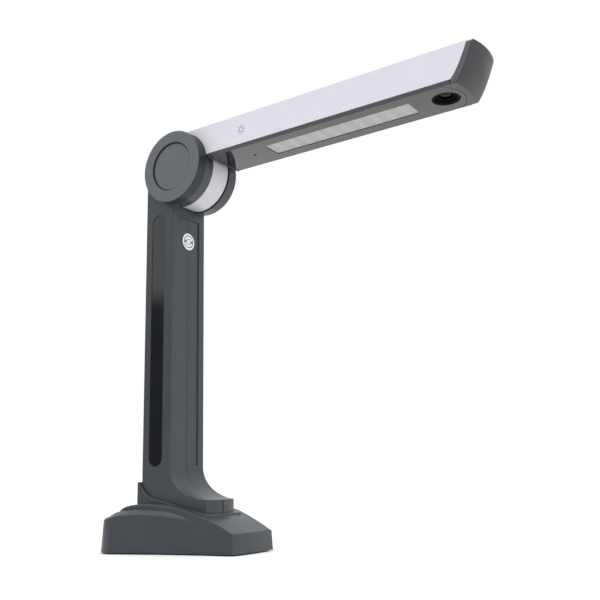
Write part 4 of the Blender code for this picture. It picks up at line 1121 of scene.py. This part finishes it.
def build_world():
    """A white studio that is dimmer overhead and dark low down behind the object's left side."""
    world = bpy.data.worlds.new("studio")
    bpy.context.scene.world = world
    world.use_nodes = True
    nodes, links = world.node_tree.nodes, world.node_tree.links
    background = nodes["Background"]
    direction = nodes.new("ShaderNodeTexCoord").outputs["Generated"]
    split = nodes.new("ShaderNodeSeparateXYZ")
    links.new(direction, split.inputs[0])
    height = split.outputs["Z"]

    def facing(way, low, high):
        toward = nodes.new("ShaderNodeVectorMath")
        toward.operation = "DOT_PRODUCT"
        toward.inputs[1].default_value = (*way, 0.0)
        links.new(direction, toward.inputs[0])
        return remap(nodes, links, toward.outputs["Value"], 0.0, 1.0, low, high)

    def product(first, second):
        made = nodes.new("ShaderNodeMath")
        made.operation = "MULTIPLY"
        links.new(first, made.inputs[0])
        links.new(second, made.inputs[1])
        return made.outputs[0]

    def fade(factor, first, second):
        made = nodes.new("ShaderNodeMix")
        made.data_type = "FLOAT"
        links.new(factor, made.inputs["Factor"])
        for socket, value in ((made.inputs["A"], first), (made.inputs["B"], second)):
            if isinstance(value, float):
                socket.default_value = value
            else:
                links.new(value, socket)
        return made.outputs["Result"]

    sky = remap(nodes, links, height, 0.50, 0.95, 0.0, 0.45)
    sky = fade(facing(BEHIND, 0.3, 0.9), sky, 1.0)
    left = facing(LEFT, 0.1, 0.6)
    above = remap(nodes, links, height, 1.0, 0.0, 0.30, 0.60)
    sky = fade(product(left, above), sky, 1.15)
    sky = fade(facing(FRONT, 0.2, 0.9), sky, 1.12)
    below = remap(nodes, links, height, 1.0, 0.0, 0.200, 0.225)
    lit = fade(product(left, below), sky, 0.05)
    path = nodes.new("ShaderNodeLightPath")
    links.new(fade(path.outputs["Is Camera Ray"], lit, 1.0), background.inputs["Strength"])
    background.inputs["Color"].default_value = (1.0, 1.0, 1.0, 1.0)


def build_stage():
    floor_size = 14.0
    builder = bmesh.new()
    bmesh.ops.create_grid(builder, x_segments=1, y_segments=1, size=floor_size)
    floor = from_bmesh("floor", builder)
    TOOLS.remove(floor)
    floor.location.z = cad_box[0][2] - 0.0001
    made, nodes, links, shader = new_material("floor_paper")
    place = nodes.new("ShaderNodeTexCoord").outputs["Object"]
    grain = noise(nodes, links, place, 3.0, 2.0)
    links.new(mix_colour(nodes, links, grain, (0.93, 0.93, 0.93), (0.95, 0.95, 0.95)),
              shader.inputs["Base Color"])
    shader.inputs["Roughness"].default_value = 0.9
    shader.inputs["Specular IOR Level"].default_value = 0.1
    floor.data.materials.append(made)
    build_world()
    sun = bpy.data.lights.new("overhead", "SUN")
    sun.energy = SUN_ENERGY
    sun.angle = math.radians(SUN_SPREAD)
    lamp = bpy.data.objects.new("overhead", sun)
    bpy.context.scene.collection.objects.link(lamp)
    lamp.rotation_euler = Vector(SUN_DIRECTION).to_track_quat("-Z", "Y").to_euler()
    bpy.context.scene.view_settings.view_transform = "Standard"


def build_camera():
    data = bpy.data.cameras.new("camera")
    data.sensor_width = 36.0
    data.lens = CAMERA_LENS
    data.shift_x, data.shift_y = CAMERA_SHIFT
    data.clip_start = 0.01
    camera = bpy.data.objects.new("camera", data)
    bpy.context.scene.collection.objects.link(camera)
    yaw, pitch, roll = (math.radians(a) for a in (CAMERA_YAW, CAMERA_PITCH, CAMERA_ROLL))
    forward = Vector((math.sin(yaw) * math.cos(pitch), math.cos(yaw) * math.cos(pitch), math.sin(pitch)))
    level = Vector((math.cos(yaw), -math.sin(yaw), 0.0))
    upright = level.cross(forward)
    right = math.cos(roll) * level + math.sin(roll) * upright
    up = -math.sin(roll) * level + math.cos(roll) * upright
    pose = Matrix((right, up, -forward)).transposed().to_4x4()
    pose.translation = Vector(CAMERA_PLACE)
    camera.matrix_world = pose
    bpy.context.scene.camera = camera


build_base()
build_column(-1, "column_left", "column_shell_left")
build_column(1, "column_right", "column_shell_right")
build_trim()
build_hinge()
build_cover()
build_tray()
build_underside()
build_tip()
build_lens()
build_icon()
clear_tools()
finish_nodes()
build_stage()
build_camera()
